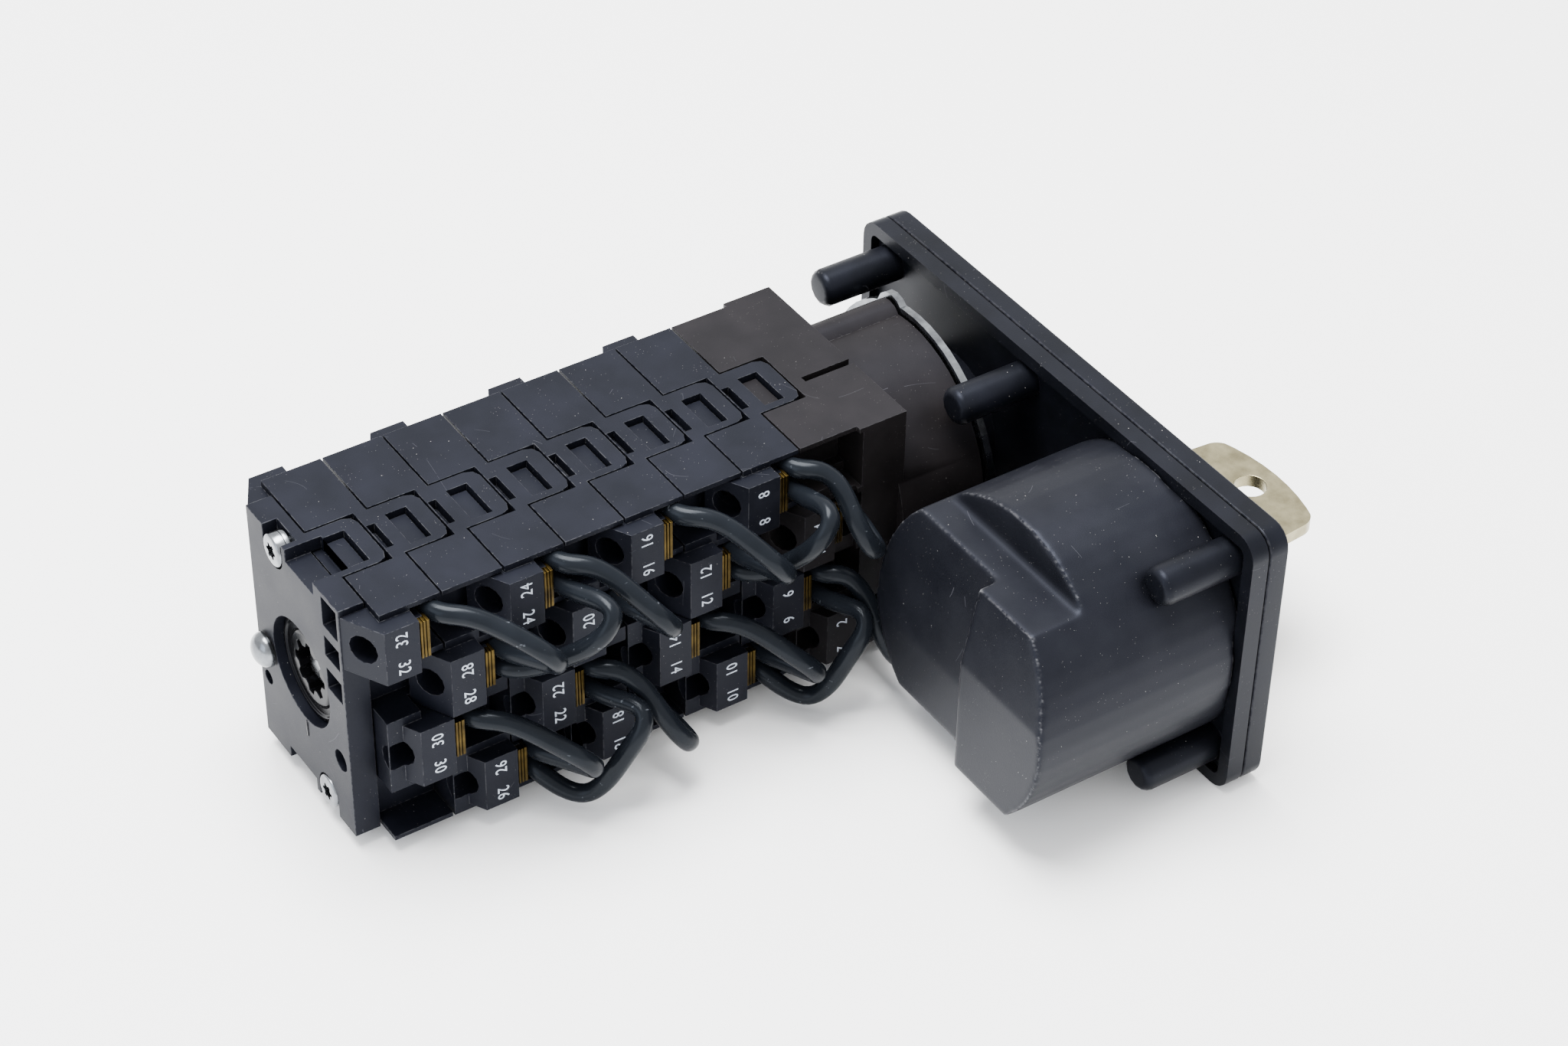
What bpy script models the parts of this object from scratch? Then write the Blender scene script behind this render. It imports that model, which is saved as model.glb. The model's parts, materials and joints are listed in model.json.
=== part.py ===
"""Key-operated cam switch on a two-module front plate, with eight contact levels and its jumper wires.

The switch frame has its origin on the switch axis, in the plane where the plate meets the panel.
+Y runs back along the stack of stages, +Z is up, and the lock sits towards -X.
Everything is in metres.
"""

import math

import bmesh
import bpy
from mathutils import Matrix, Vector

# Fits
FIT = 0.0003
RUNNING = 0.0004

# Front plate: a cover and a backing plate with six pegs
PLATE_SIDE = 0.0242
PLATE_EDGE = 0.0010
PLATE_DEPTH = 0.0066
PLATE_CORNER = 0.0035
RIM_DEPTH = 0.0029
RIM_WIDTH = 0.0022
FLOOR_THICKNESS = 0.0014
COVER_WALL = 0.0015
COVER_FACE = 0.0009
PEG_EDGE = 0.0060
PEG_RADIUS = 0.0031
PEG_REACH = 0.0128
PEG_ROUND = 0.0012

# Lock module, one axis pitch to the side of the switch
DRUM_RADIUS = 0.0230
DRUM_WALL = 0.0020
DRUM_REACH = 0.0355
DRUM_STEP = 0.0033
DRUM_SPLIT = 0.0031
DRUM_FLAT_DROP = 0.0064
DRUM_FLAT_LENGTH = 0.0119
DRUM_LEAN = 0.0027
DRUM_CREASE_FAR = 0.0040
DRUM_CREASE_NEAR = -0.0050
DRUM_EDGE = 0.0013
WIRE_ROOM = 0.0061
CYLINDER_RADIUS = 0.0085
CYLINDER_HEIGHT = 0.0330
CYLINDER_WEB = 0.0100
CYLINDER_REACH = 0.0217
PLUG_RADIUS = 0.0062
PLUG_TAIL_RADIUS = 0.0030
KEY_THICKNESS = 0.0022
KEY_BLADE_WIDTH = 0.0080
KEY_BLADE_LENGTH = 0.0250
KEY_BOW_WIDTH = 0.0265
KEY_BOW_LENGTH = 0.0260
KEY_HOLE_RADIUS = 0.0026

# Gears and cranks that carry the key's turn to the switch shaft
GEAR_TEETH = 12
GEAR_MODULE = 0.00112
GEAR_WIDTH = 0.0030
GEAR_BACKLASH = 0.00035
GEAR_PLAY = 0.0015
LINK_EDGE = 0.0021
TRANSFER_SHAFT_RADIUS = 0.0024
CRANK_ARM = 0.0060
CRANK_PIN_RADIUS = 0.0014
CRANK_WIDTH = 0.0050
CRANK_THICKNESS = 0.0008
LINK_WIDTH = 0.0048
LINK_THICKNESS = 0.0008

# Mounting disc, latch housing and shaft
COLLAR_RADIUS = 0.0110
DISC_FRONT = 0.0061
DISC_THICKNESS = 0.0012
DISC_BORE = 0.0070
DISC_EAR = 0.0036
BARREL_STEP = 0.0011
BARREL_LENGTH = 0.0140
LATCH_WIDTH = 0.0374
LATCH_LENGTH = 0.0184
LATCH_WIRE_ROOM = 0.0066
RIDGE_RADIUS = 0.0032
GROOVE_X = -0.0034
GROOVE_WIDTH = 0.0012
SHAFT_SIDE = 0.0060
SHAFT_BORE = 0.0054
STAR_RADIUS = 0.0086
STAR_LOBES = 8
STAR_DEPTH = 0.0007
STAR_WIDTH = 0.0036
ROLLER_RADIUS = 0.0026
ROLLER_TRAVEL = 0.0008
ROLLER_WALL = 0.0026
SPRING_RADIUS = 0.0021
SPRING_WIRE = 0.0006
SPRING_TURNS = 4

# Contact stages
STAGE_COUNT = 7
STAGE_PITCH = 0.0100
BODY_WIDTH = 0.0356
BODY_HEIGHT = 0.0432
CORE_HALF = 0.0120
RIB = 0.0026
LID = 0.0008
CHAMBER_HALF_X = 0.0110
CHAMBER_WALL = 0.0067
CHAMBER_FLOOR = 0.0045
CAM_RADIUS = 0.0068
CAM_THROW = 0.0015
CAM_WIDTH = 0.0034
YOKE_HALF_X = 0.0105
YOKE_PLAY = 0.0016
YOKE_INNER_X = 0.0088
BLOCK_REACH = 0.0205
BLOCK_FACE = 0.0055
BLOCK_CHAMFER = 0.0035
BLOCK_NOSE = 0.0140
BLOCK_EARLY = 0.0003
BLOCK_LATE = 0.0049
TERMINAL_DEPTH = 0.0016
TERMINAL_HEIGHT = 0.0068
TERMINAL_REACH = 0.0183
DRIVER_HOLE_RADIUS = 0.0024
DRIVER_HOLE_DEPTH = 0.0045
TONGUE_LEFT = 0.0038
TONGUE_RIGHT = 0.0075
TONGUE_REACH = 0.0077
TONGUE_THICKNESS = 0.0022
TONGUE_CORNER = 0.0018
WINDOW_LEFT = 0.0014
WINDOW_WIDTH = 0.0076
WINDOW_LENGTH = 0.0034
WINDOW_SETBACK = 0.0017
SLOT_LENGTH = 0.0014

# Rear end
END_THICKNESS = 0.0041
END_WIDTH = 0.0280
RECESS_LEFT = 0.0020
RECESS_RIGHT = 0.0064
POCKETS = ((0.0155, 0.0208), (0.0099, 0.0136), (0.0037, 0.0075))
POCKET_WALL = 0.0008
POCKET_INNER = 0.0088
POCKET_DEPTH = 0.0028
END_HOLES = ((0.0018, -0.0110, -0.0088), (0.0012, 0.0117, -0.0097))
HUB_HOLE = 0.0087
HUB_THICKNESS = 0.0026
HUB_RECESS = 0.0012
STAR_HOLE_RADIUS = 0.0046
TIE_X = 0.0060
TIE_EDGE = 0.0029
TIE_RADIUS = 0.0015
TIE_HEAD_RADIUS = 0.0026
TIE_HEAD_HEIGHT = 0.0016
WASHER_THICKNESS = 0.0008
RIVET_X = 0.0108
RIVET_DROP = 0.0033
RIVET_RADIUS = 0.0028
RIVET_DOME = 0.8

# Jumper wires
WIRE_RADIUS = 0.00142
WIRE_POINTS = 14
WIRE_SPACING = 0.0037
LOOP_REACH = 0.0080
LOOP_LEAN = 0.0048

# Stations along the stack
FLOOR_BACK = -RIM_DEPTH + FLOOR_THICKNESS
DISC_BACK = DISC_FRONT + DISC_THICKNESS
BARREL_FRONT = DISC_BACK + FIT
LATCH_FRONT = BARREL_FRONT + BARREL_LENGTH
STACK_FRONT = LATCH_FRONT + LATCH_LENGTH + FIT
STACK_BACK = STACK_FRONT + STAGE_COUNT * STAGE_PITCH
END_BACK = STACK_BACK + END_THICKNESS
HALF_W = BODY_WIDTH / 2
HALF_H = BODY_HEIGHT / 2
DISC_RADIUS = HALF_H
BARREL_RADIUS = HALF_H - BARREL_STEP
TIE_Z = HALF_H - TIE_EDGE
ROLLER_BORE_END = HALF_H - ROLLER_WALL
CHAMBER_HALF_Z = HALF_H - CHAMBER_WALL
YOKE_HALF_Z = CHAMBER_HALF_Z - YOKE_PLAY
LOCK_PITCH = BLOCK_REACH + WIRE_ROOM + DRUM_RADIUS
PLATE_WIDTH = PLATE_SIDE + LOCK_PITCH + DRUM_RADIUS + PLATE_EDGE
PLATE_HEIGHT = 2 * (DRUM_RADIUS + PLATE_EDGE)
HALF_PLATE = PLATE_HEIGHT / 2
PEG_HALF = HALF_PLATE - PEG_EDGE
DRUM_FLAT = DRUM_RADIUS - DRUM_FLAT_DROP
TRANSFER_DROP = HALF_PLATE - COVER_WALL - LINK_EDGE - CRANK_ARM - LINK_WIDTH / 2
ROW_HEIGHT = BODY_HEIGHT / 4
STAGE_LENGTH = STAGE_PITCH - FIT
LOCK_X = -LOCK_PITCH + CYLINDER_HEIGHT / 2 - CYLINDER_RADIUS + 0.0005
GEAR_PITCH_RADIUS = GEAR_MODULE * GEAR_TEETH / 2
GEAR_CENTRES = 2 * GEAR_PITCH_RADIUS
GEAR_ROOM_END = CYLINDER_REACH + FIT + GEAR_WIDTH + GEAR_PLAY
TRANSFER_Z = -TRANSFER_DROP
TRANSFER_X = LOCK_X - math.sqrt(GEAR_CENTRES ** 2 - TRANSFER_DROP ** 2)

KEY_SHOULDER = -PLATE_DEPTH - 0.0008
KEY_FAR = KEY_SHOULDER - KEY_BOW_LENGTH
REAR_FAR = END_BACK + FIT + RIVET_DOME * RIVET_RADIUS

# Place of the switch frame on the surface that the object lies on
FRAME_X = PLATE_WIDTH / 2 - PLATE_SIDE
FRAME_Y = -(KEY_FAR + REAR_FAR) / 2
FRAME_Z = HALF_PLATE


def clear_scene():
    """Remove every object that the file opened with."""
    for item in list(bpy.data.objects):
        bpy.data.objects.remove(item, do_unlink=True)


def collection(name):
    """A new collection under the scene's own."""
    group = bpy.data.collections.new(name)
    bpy.context.scene.collection.children.link(group)
    return group


clear_scene()
PARTS = collection("cam_switch")
CUTTERS = collection("cutters")


def material(name, colour, roughness, metallic=0.0):
    """A Principled material."""
    made = bpy.data.materials.new(name)
    made.use_nodes = True
    shader = made.node_tree.nodes["Principled BSDF"]
    shader.inputs["Base Color"].default_value = (*colour, 1.0)
    shader.inputs["Roughness"].default_value = roughness
    shader.inputs["Metallic"].default_value = metallic
    return made


FINISHES = {
    "plate_black": ((0.018, 0.019, 0.022), 0.45, 0.0),
    "housing_black": ((0.020, 0.021, 0.024), 0.55, 0.0),
    "latch_brown": ((0.026, 0.022, 0.020), 0.55, 0.0),
    "gloss_black": ((0.010, 0.010, 0.011), 0.15, 0.0),
    "moving_plastic": ((0.30, 0.30, 0.28), 0.5, 0.0),
    "zinc_steel": ((0.62, 0.64, 0.66), 0.28, 1.0),
    "nickel_brass": ((0.66, 0.62, 0.50), 0.25, 1.0),
    "contact_silver": ((0.72, 0.66, 0.55), 0.3, 1.0),
    "wire_sheath": ((0.045, 0.050, 0.058), 0.25, 0.0),
}


def as_object(name, mesh, group=None):
    """An object for a mesh, with smooth round faces."""
    item = bpy.data.objects.new(name, mesh)
    (group or CUTTERS).objects.link(item)
    if group is None:
        item.hide_render = True
        item.display_type = "WIRE"
    return item


def from_bmesh(name, bm):
    """A mesh from a bmesh, with its faces pointing out."""
    bmesh.ops.recalc_face_normals(bm, faces=bm.faces)
    mesh = bpy.data.meshes.new(name)
    bm.to_mesh(mesh)
    bm.free()
    return mesh


def box(low, high, name="box"):
    """A box between two corners."""
    bm = bmesh.new()
    bmesh.ops.create_cube(bm, size=1.0)
    low, high = Vector(low), Vector(high)
    span = high - low
    bmesh.ops.scale(bm, vec=span, verts=bm.verts)
    bmesh.ops.translate(bm, vec=(low + high) / 2, verts=bm.verts)
    return as_object(name, from_bmesh(name, bm))


def rod(radius, start, end, x=0.0, z=0.0, segments=32, far_radius=None, name="rod"):
    """A cylinder or cone along Y from start to end."""
    bm = bmesh.new()
    far = radius if far_radius is None else far_radius
    bmesh.ops.create_cone(
        bm, cap_ends=True, segments=segments, radius1=far, radius2=radius, depth=end - start,
    )
    bmesh.ops.rotate(bm, verts=bm.verts, matrix=Matrix.Rotation(math.radians(90), 3, "X"))
    bmesh.ops.translate(bm, vec=(x, (start + end) / 2, z), verts=bm.verts)
    return as_object(name, from_bmesh(name, bm))


def turned_solid(profile, x=0.0, z=0.0, segments=32, name="turned"):
    """A solid turned about an axis along Y, from (radius, y) points."""
    bm = bmesh.new()
    rings = []
    for radius, y in profile:
        rings.append([
            bm.verts.new((
                x + radius * math.cos(2 * math.pi * i / segments), y,
                z + radius * math.sin(2 * math.pi * i / segments),
            ))
            for i in range(segments)
        ])
    for near, far in zip(rings, rings[1:]):
        for i in range(segments):
            j = (i + 1) % segments
            bm.faces.new((near[i], near[j], far[j], far[i]))
    bm.faces.new(rings[0])
    bm.faces.new(rings[-1])
    return as_object(name, from_bmesh(name, bm))


def pin_between(radius, start, end, segments=20, name="pin"):
    """A cylinder between two points."""
    start, end = Vector(start), Vector(end)
    line = end - start
    bm = bmesh.new()
    bmesh.ops.create_cone(
        bm, cap_ends=True, segments=segments, radius1=radius, radius2=radius, depth=line.length,
    )
    turn = Vector((0, 0, 1)).rotation_difference(line).to_matrix()
    bmesh.ops.rotate(bm, verts=bm.verts, matrix=turn)
    bmesh.ops.translate(bm, vec=(start + end) / 2, verts=bm.verts)
    return as_object(name, from_bmesh(name, bm))


def curve_mesh(data, name):
    """The closed mesh of a curve, with its caps welded."""
    holder = bpy.data.objects.new(name, data)
    CUTTERS.objects.link(holder)
    graph = bpy.context.evaluated_depsgraph_get()
    mesh = bpy.data.meshes.new_from_object(holder.evaluated_get(graph))
    bpy.data.objects.remove(holder, do_unlink=True)
    bm = bmesh.new()
    bm.from_mesh(mesh)
    bmesh.ops.remove_doubles(bm, verts=bm.verts, dist=0.00002)
    return from_bmesh(name, bm)


def outline_solid(points, low, high, normal="Y", holes=(), name="outline"):
    """A flat outline of (a, b) points made solid between two heights.

    With normal Y the points are (x, z), with normal Z (x, y) and with normal X (y, z).
    """
    places = {
        "X": lambda a, b, height: (height, a, b),
        "Y": lambda a, b, height: (a, height, b),
        "Z": lambda a, b, height: (a, b, height),
    }
    bm = bmesh.new()
    levels = []
    for height in (low, high):
        levels.append([bm.verts.new(places[normal](a, b, height)) for a, b in points])
    near, far = levels
    bm.faces.new(near)
    bm.faces.new(far)
    for i in range(len(points)):
        j = (i + 1) % len(points)
        bm.faces.new((near[i], near[j], far[j], far[i]))
    solid = as_object(name, from_bmesh(name, bm))
    for ring in holes:
        cut(solid, outline_solid(ring, low - 0.001, high + 0.001, normal, name=name + "_hole"))
    return solid


def arc(centre, radius, start, end, steps):
    """Points on an arc, angles in degrees."""
    return [
        (
            centre[0] + radius * math.cos(math.radians(start + (end - start) * i / steps)),
            centre[1] + radius * math.sin(math.radians(start + (end - start) * i / steps)),
        )
        for i in range(steps + 1)
    ]


def rounded_rectangle(left, right, bottom, top, radius, steps=5):
    """The outline of a rectangle with round corners."""
    r = radius
    return (
        arc((right - r, top - r), r, 0, 90, steps)
        + arc((left + r, top - r), r, 90, 180, steps)
        + arc((left + r, bottom + r), r, 180, 270, steps)
        + arc((right - r, bottom + r), r, 270, 360, steps)
    )


def boolean(target, tool, operation):
    """Add a live Boolean with another object."""
    modifier = target.modifiers.new(operation.lower(), "BOOLEAN")
    modifier.operation = operation
    modifier.solver = "EXACT"
    modifier.object = tool
    return target


def cut(target, *tools):
    """Cut tools out of a target."""
    for tool in tools:
        boolean(target, tool, "DIFFERENCE")
    return target


def join(target, *tools):
    """Join tools to a target."""
    for tool in tools:
        boolean(target, tool, "UNION")
    return target


def bevel(target, width, segments=2, angle=40):
    """Round the target's sharp edges."""
    modifier = target.modifiers.new("bevel", "BEVEL")
    modifier.width = width
    modifier.segments = segments
    modifier.limit_method = "ANGLE"
    modifier.angle_limit = math.radians(angle)
    return target


def baked(target):
    """The mesh that an object's modifiers make."""
    graph = bpy.context.evaluated_depsgraph_get()
    return bpy.data.meshes.new_from_object(target.evaluated_get(graph))


def tidied(mesh):
    """The mesh with flat faces merged and needless vertices on straight edges removed."""
    bm = bmesh.new()
    bm.from_mesh(mesh)
    bmesh.ops.dissolve_limit(
        bm, angle_limit=math.radians(0.3), use_dissolve_boundaries=False, verts=bm.verts, edges=bm.edges,
    )
    bmesh.ops.triangulate(bm, faces=bm.faces)
    bm.to_mesh(mesh)
    bm.free()
    return mesh


def empty(name, parent, place):
    """An empty on a joint's axis."""
    item = bpy.data.objects.new(name, None)
    PARTS.objects.link(item)
    item.parent = parent
    item.location = place
    return item


FRAME = empty("switch_frame", None, (FRAME_X, FRAME_Y, FRAME_Z))


def part(name, shape, finish, parent=None, pivot=(0, 0, 0)):
    """Make a shape a named part, carried by the frame or by an empty at the pivot."""
    mesh = tidied(baked(shape))
    mesh.transform(Matrix.Translation(-Vector(pivot)))
    mesh.name = name
    item = as_object(name, mesh, PARTS)
    item.parent = parent or FRAME
    colour, roughness, metallic = FINISHES[finish]
    mesh.materials.clear()
    mesh.materials.append(material(name + "_finish", colour, roughness, metallic))
    mesh.shade_smooth()
    mesh.set_sharp_from_angle(angle=math.radians(35))
    return item


def square_hole(side, start, end):
    """A cutter for a square hole on the switch axis."""
    half = side / 2 + FIT
    return box((-half, start, -half), (half, end, half), "square_hole")


def tie_points():
    """The two tie screws' places, (x, z)."""
    return ((TIE_X, TIE_Z), (-TIE_X, -TIE_Z))


def row_band(row):
    """Lower and upper z of a terminal row, row 0 at the top."""
    top = HALF_H - row * ROW_HEIGHT
    return top - ROW_HEIGHT, top


# Terminal blocks of the two kinds of stage: row and place along the stage, the same on both sides
EVEN_BLOCKS = ((0, BLOCK_LATE), (2, BLOCK_EARLY))
ODD_BLOCKS = ((1, BLOCK_LATE), (3, BLOCK_EARLY))


def terminal_block(side, row, start):
    """A block with its label face, chamfer and wire clamp, in the stage's own frame."""
    low, high = row_band(row)
    low += FIT / 2 if row < 3 else LID + FIT
    high -= FIT / 2 if row > 0 else LID + FIT
    face_end = start + BLOCK_FACE
    nose_end = face_end + BLOCK_CHAMFER
    outline = [
        (side * (CORE_HALF - 0.0010), start),
        (side * BLOCK_REACH, start),
        (side * BLOCK_REACH, face_end),
        (side * BLOCK_NOSE, nose_end),
    ]
    if nose_end > STAGE_LENGTH:
        outline.append((side * BLOCK_NOSE, STAGE_LENGTH))
        outline.append((side * (CORE_HALF - 0.0010), STAGE_LENGTH))
    else:
        outline.append((side * (CORE_HALF - 0.0010), nose_end))
    block = outline_solid(outline, low, high, "Z", name="block")
    middle = (low + high) / 2
    root = CORE_HALF - 0.0010 if start > TERMINAL_DEPTH else CORE_HALF + FIT
    near, far = sorted((side * root, side * TERMINAL_REACH))
    clamp = box(
        (near, start - TERMINAL_DEPTH, middle - TERMINAL_HEIGHT / 2),
        (far, start + 0.0002, middle + TERMINAL_HEIGHT / 2),
        "clamp",
    )
    return block, clamp


def driver_hole(side, row, start):
    """The round hole in a block's chamfer."""
    low, high = row_band(row)
    middle = (low + high) / 2
    across = Vector((side * BLOCK_NOSE - side * BLOCK_REACH, BLOCK_CHAMFER, 0)).normalized()
    inward = Vector((-side * abs(across.y), -abs(across.x), 0))
    centre = Vector((
        side * (BLOCK_NOSE + BLOCK_REACH) / 2, start + BLOCK_FACE + BLOCK_CHAMFER / 2, middle,
    ))
    return pin_between(
        DRIVER_HOLE_RADIUS, centre - inward * 0.002, centre + inward * DRIVER_HOLE_DEPTH, 12, "driver_hole",
    )


def add_terminals(target, length, blocks):
    """Open the wire cavities on both sides of a stage and set its terminal blocks."""
    beyond = BLOCK_REACH + 0.004
    owners = dict(blocks)
    late_rows = [row for kind in (EVEN_BLOCKS, ODD_BLOCKS) for row, start in kind if start == BLOCK_LATE]
    for side in (-1, 1):
        for row in range(4):
            low, high = row_band(row)
            low += RIB / 2 if row < 3 else LID
            high -= RIB / 2 if row > 0 else LID
            inner, outer = sorted((side * CORE_HALF, side * beyond))
            spans = [(-0.001, length + 0.001)]
            if row in owners:
                start = owners[row]
                nose = start + BLOCK_FACE + BLOCK_CHAMFER
                spans = [(-0.001, start), (nose, length + 0.001)]
            for begin, end in spans:
                if end - begin > 0.0016:
                    cut(target, box((inner, begin, low), (outer, end, high), "cavity"))
            if row not in owners:
                relief_low, relief_high = row_band(row)
                reach = BLOCK_LATE + BLOCK_FACE + BLOCK_CHAMFER - STAGE_PITCH + FIT
                near, far = sorted((side * (BLOCK_NOSE - FIT), side * beyond))
                ceiling = relief_high + FIT if row > 0 else relief_high - LID
                if row in late_rows:
                    cut(target, box((near, -0.001, relief_low - FIT), (far, reach, ceiling), "relief"))
    for side in (-1, 1):
        for row, start in blocks:
            join(target, *terminal_block(side, row, start))
            cut(target, driver_hole(side, row, start))
    return target


def tongue(turned):
    """The catch tongue at a part's front, on top, or underneath when turned."""
    outline = [(TONGUE_LEFT, 0.0005)] + arc(
        (TONGUE_LEFT - TONGUE_CORNER, -TONGUE_REACH + TONGUE_CORNER), TONGUE_CORNER, 0, -90, 2,
    ) + arc(
        (-TONGUE_RIGHT + TONGUE_CORNER, -TONGUE_REACH + TONGUE_CORNER), TONGUE_CORNER, -90, -180, 2,
    ) + [(-TONGUE_RIGHT, 0.0005)]
    window = [
        (WINDOW_LEFT, -WINDOW_SETBACK),
        (WINDOW_LEFT, -WINDOW_SETBACK - WINDOW_LENGTH),
        (WINDOW_LEFT - WINDOW_WIDTH, -WINDOW_SETBACK - WINDOW_LENGTH),
        (WINDOW_LEFT - WINDOW_WIDTH, -WINDOW_SETBACK),
    ]
    solid = outline_solid(outline, HALF_H - TONGUE_THICKNESS, HALF_H, "Z", (window,), "tongue")
    solid = as_object("tongue_shape", baked(solid))
    if turned:
        solid.data.transform(Matrix.Rotation(math.pi, 4, "Y"))
    return solid


def tongue_seat(length, turned):
    """The recess for the next part's tongue, and the catch that fills its window."""
    floor = HALF_H - TONGUE_THICKNESS - FIT
    seat = box(
        (-TONGUE_RIGHT - FIT, length + FIT - TONGUE_REACH - FIT, floor),
        (TONGUE_LEFT + FIT, length + 0.002, HALF_H + 0.001),
        "tongue_seat",
    )
    window_back = length + FIT - WINDOW_SETBACK - FIT
    catch = box(
        (WINDOW_LEFT - WINDOW_WIDTH + FIT, window_back - WINDOW_LENGTH + 2 * FIT, floor - 0.0004),
        (WINDOW_LEFT - FIT, window_back, HALF_H - 0.0010),
        "catch",
    )
    slot = box(
        (WINDOW_LEFT - WINDOW_WIDTH + 0.0009, 0.0004, HALF_H - 0.0018),
        (WINDOW_LEFT - 0.0009, 0.0004 + SLOT_LENGTH, HALF_H + 0.001),
        "slot",
    )
    tools = (seat, catch, slot)
    if turned:
        for tool in tools:
            tool.data.transform(Matrix.Rotation(math.pi, 4, "Y"))
    return tools


def stage_solid(blocks):
    """One contact stage housing, its front face at y = 0."""
    body = box((-HALF_W, 0, -HALF_H), (HALF_W, STAGE_LENGTH, HALF_H), "stage")
    add_terminals(body, STAGE_LENGTH, blocks)
    cut(body, box(
        (-CHAMBER_HALF_X, CHAMBER_FLOOR, -CHAMBER_HALF_Z),
        (CHAMBER_HALF_X, STAGE_LENGTH + 0.001, CHAMBER_HALF_Z),
        "chamber",
    ))
    cut(body, rod(SHAFT_BORE, -0.001, CHAMBER_FLOOR + 0.001, segments=16))
    for x, z in tie_points():
        cut(body, rod(TIE_RADIUS + FIT, -0.001, STAGE_LENGTH + 0.001, x, z, 8))
    for turned in (False, True):
        seat, catch, slot = tongue_seat(STAGE_LENGTH, turned)
        cut(body, seat)
        join(body, catch)
        cut(body, slot)
        join(body, tongue(turned))
    return body


def stage_housings():
    """Seven housings of two kinds that take turns."""
    kinds = [baked(stage_solid(blocks)) for blocks in (EVEN_BLOCKS, ODD_BLOCKS)]
    for index in range(STAGE_COUNT):
        name = "stage_housing_%d" % (index + 1)
        item = as_object(name, tidied(kinds[index % 2].copy()), PARTS)
        item.parent = FRAME
        item.location = (0, STACK_FRONT + index * STAGE_PITCH, 0)
        colour, roughness, metallic = FINISHES["housing_black"]
        item.data.materials.clear()
        item.data.materials.append(material(name + "_finish", colour, roughness, metallic))
        item.data.set_sharp_from_angle(angle=math.radians(35))


def end_plate():
    """The rear end plate with the hub's hole and the tie screws' seats."""
    front = STACK_BACK
    half = END_WIDTH / 2
    body = box((-half, front, -HALF_H), (half, END_BACK, HALF_H), "end")
    for turned in (False, True):
        hook = tongue(turned)
        hook.data.transform(Matrix.Translation((0, front, 0)))
        join(body, hook)
    cut(body, rod(HUB_HOLE, END_BACK - HUB_THICKNESS - HUB_RECESS, END_BACK + 0.001, segments=40))
    cut(body, rod(SHAFT_BORE, front - 0.001, END_BACK + 0.001, segments=24))
    for x, z in tie_points():
        sign = math.copysign(1, z)
        cut(body, rod(TIE_RADIUS + FIT, front - 0.001, END_BACK + 0.001, x, z, 12))
        seat = TIE_HEAD_RADIUS + FIT
        head_floor = END_BACK - TIE_HEAD_HEIGHT - WASHER_THICKNESS
        cut(body, rod(seat, head_floor, END_BACK + 0.001, x, z, 20))
        low, high = sorted((z, sign * (HALF_H + 0.001)))
        cut(body, box((x - seat, head_floor, low), (x + seat, END_BACK + 0.001, high), "notch"))
    for turned in (False, True):
        recess = box(
            (-RECESS_RIGHT, front - WINDOW_SETBACK, HALF_H - TONGUE_THICKNESS),
            (RECESS_LEFT, END_BACK + 0.001, HALF_H + 0.001),
            "recess",
        )
        if turned:
            recess.data.transform(Matrix.Rotation(math.pi, 4, "Y"))
        cut(body, recess)
    for low, high in POCKETS:
        cut(body, box(
            (-half + POCKET_WALL, END_BACK - POCKET_DEPTH, low), (-POCKET_INNER, END_BACK + 0.001, high), "pocket",
        ))
    for radius, x, z in END_HOLES:
        cut(body, rod(radius, END_BACK - POCKET_DEPTH, END_BACK + 0.001, x, z, 14))
    return part("end_plate", body, "housing_black")


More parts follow.
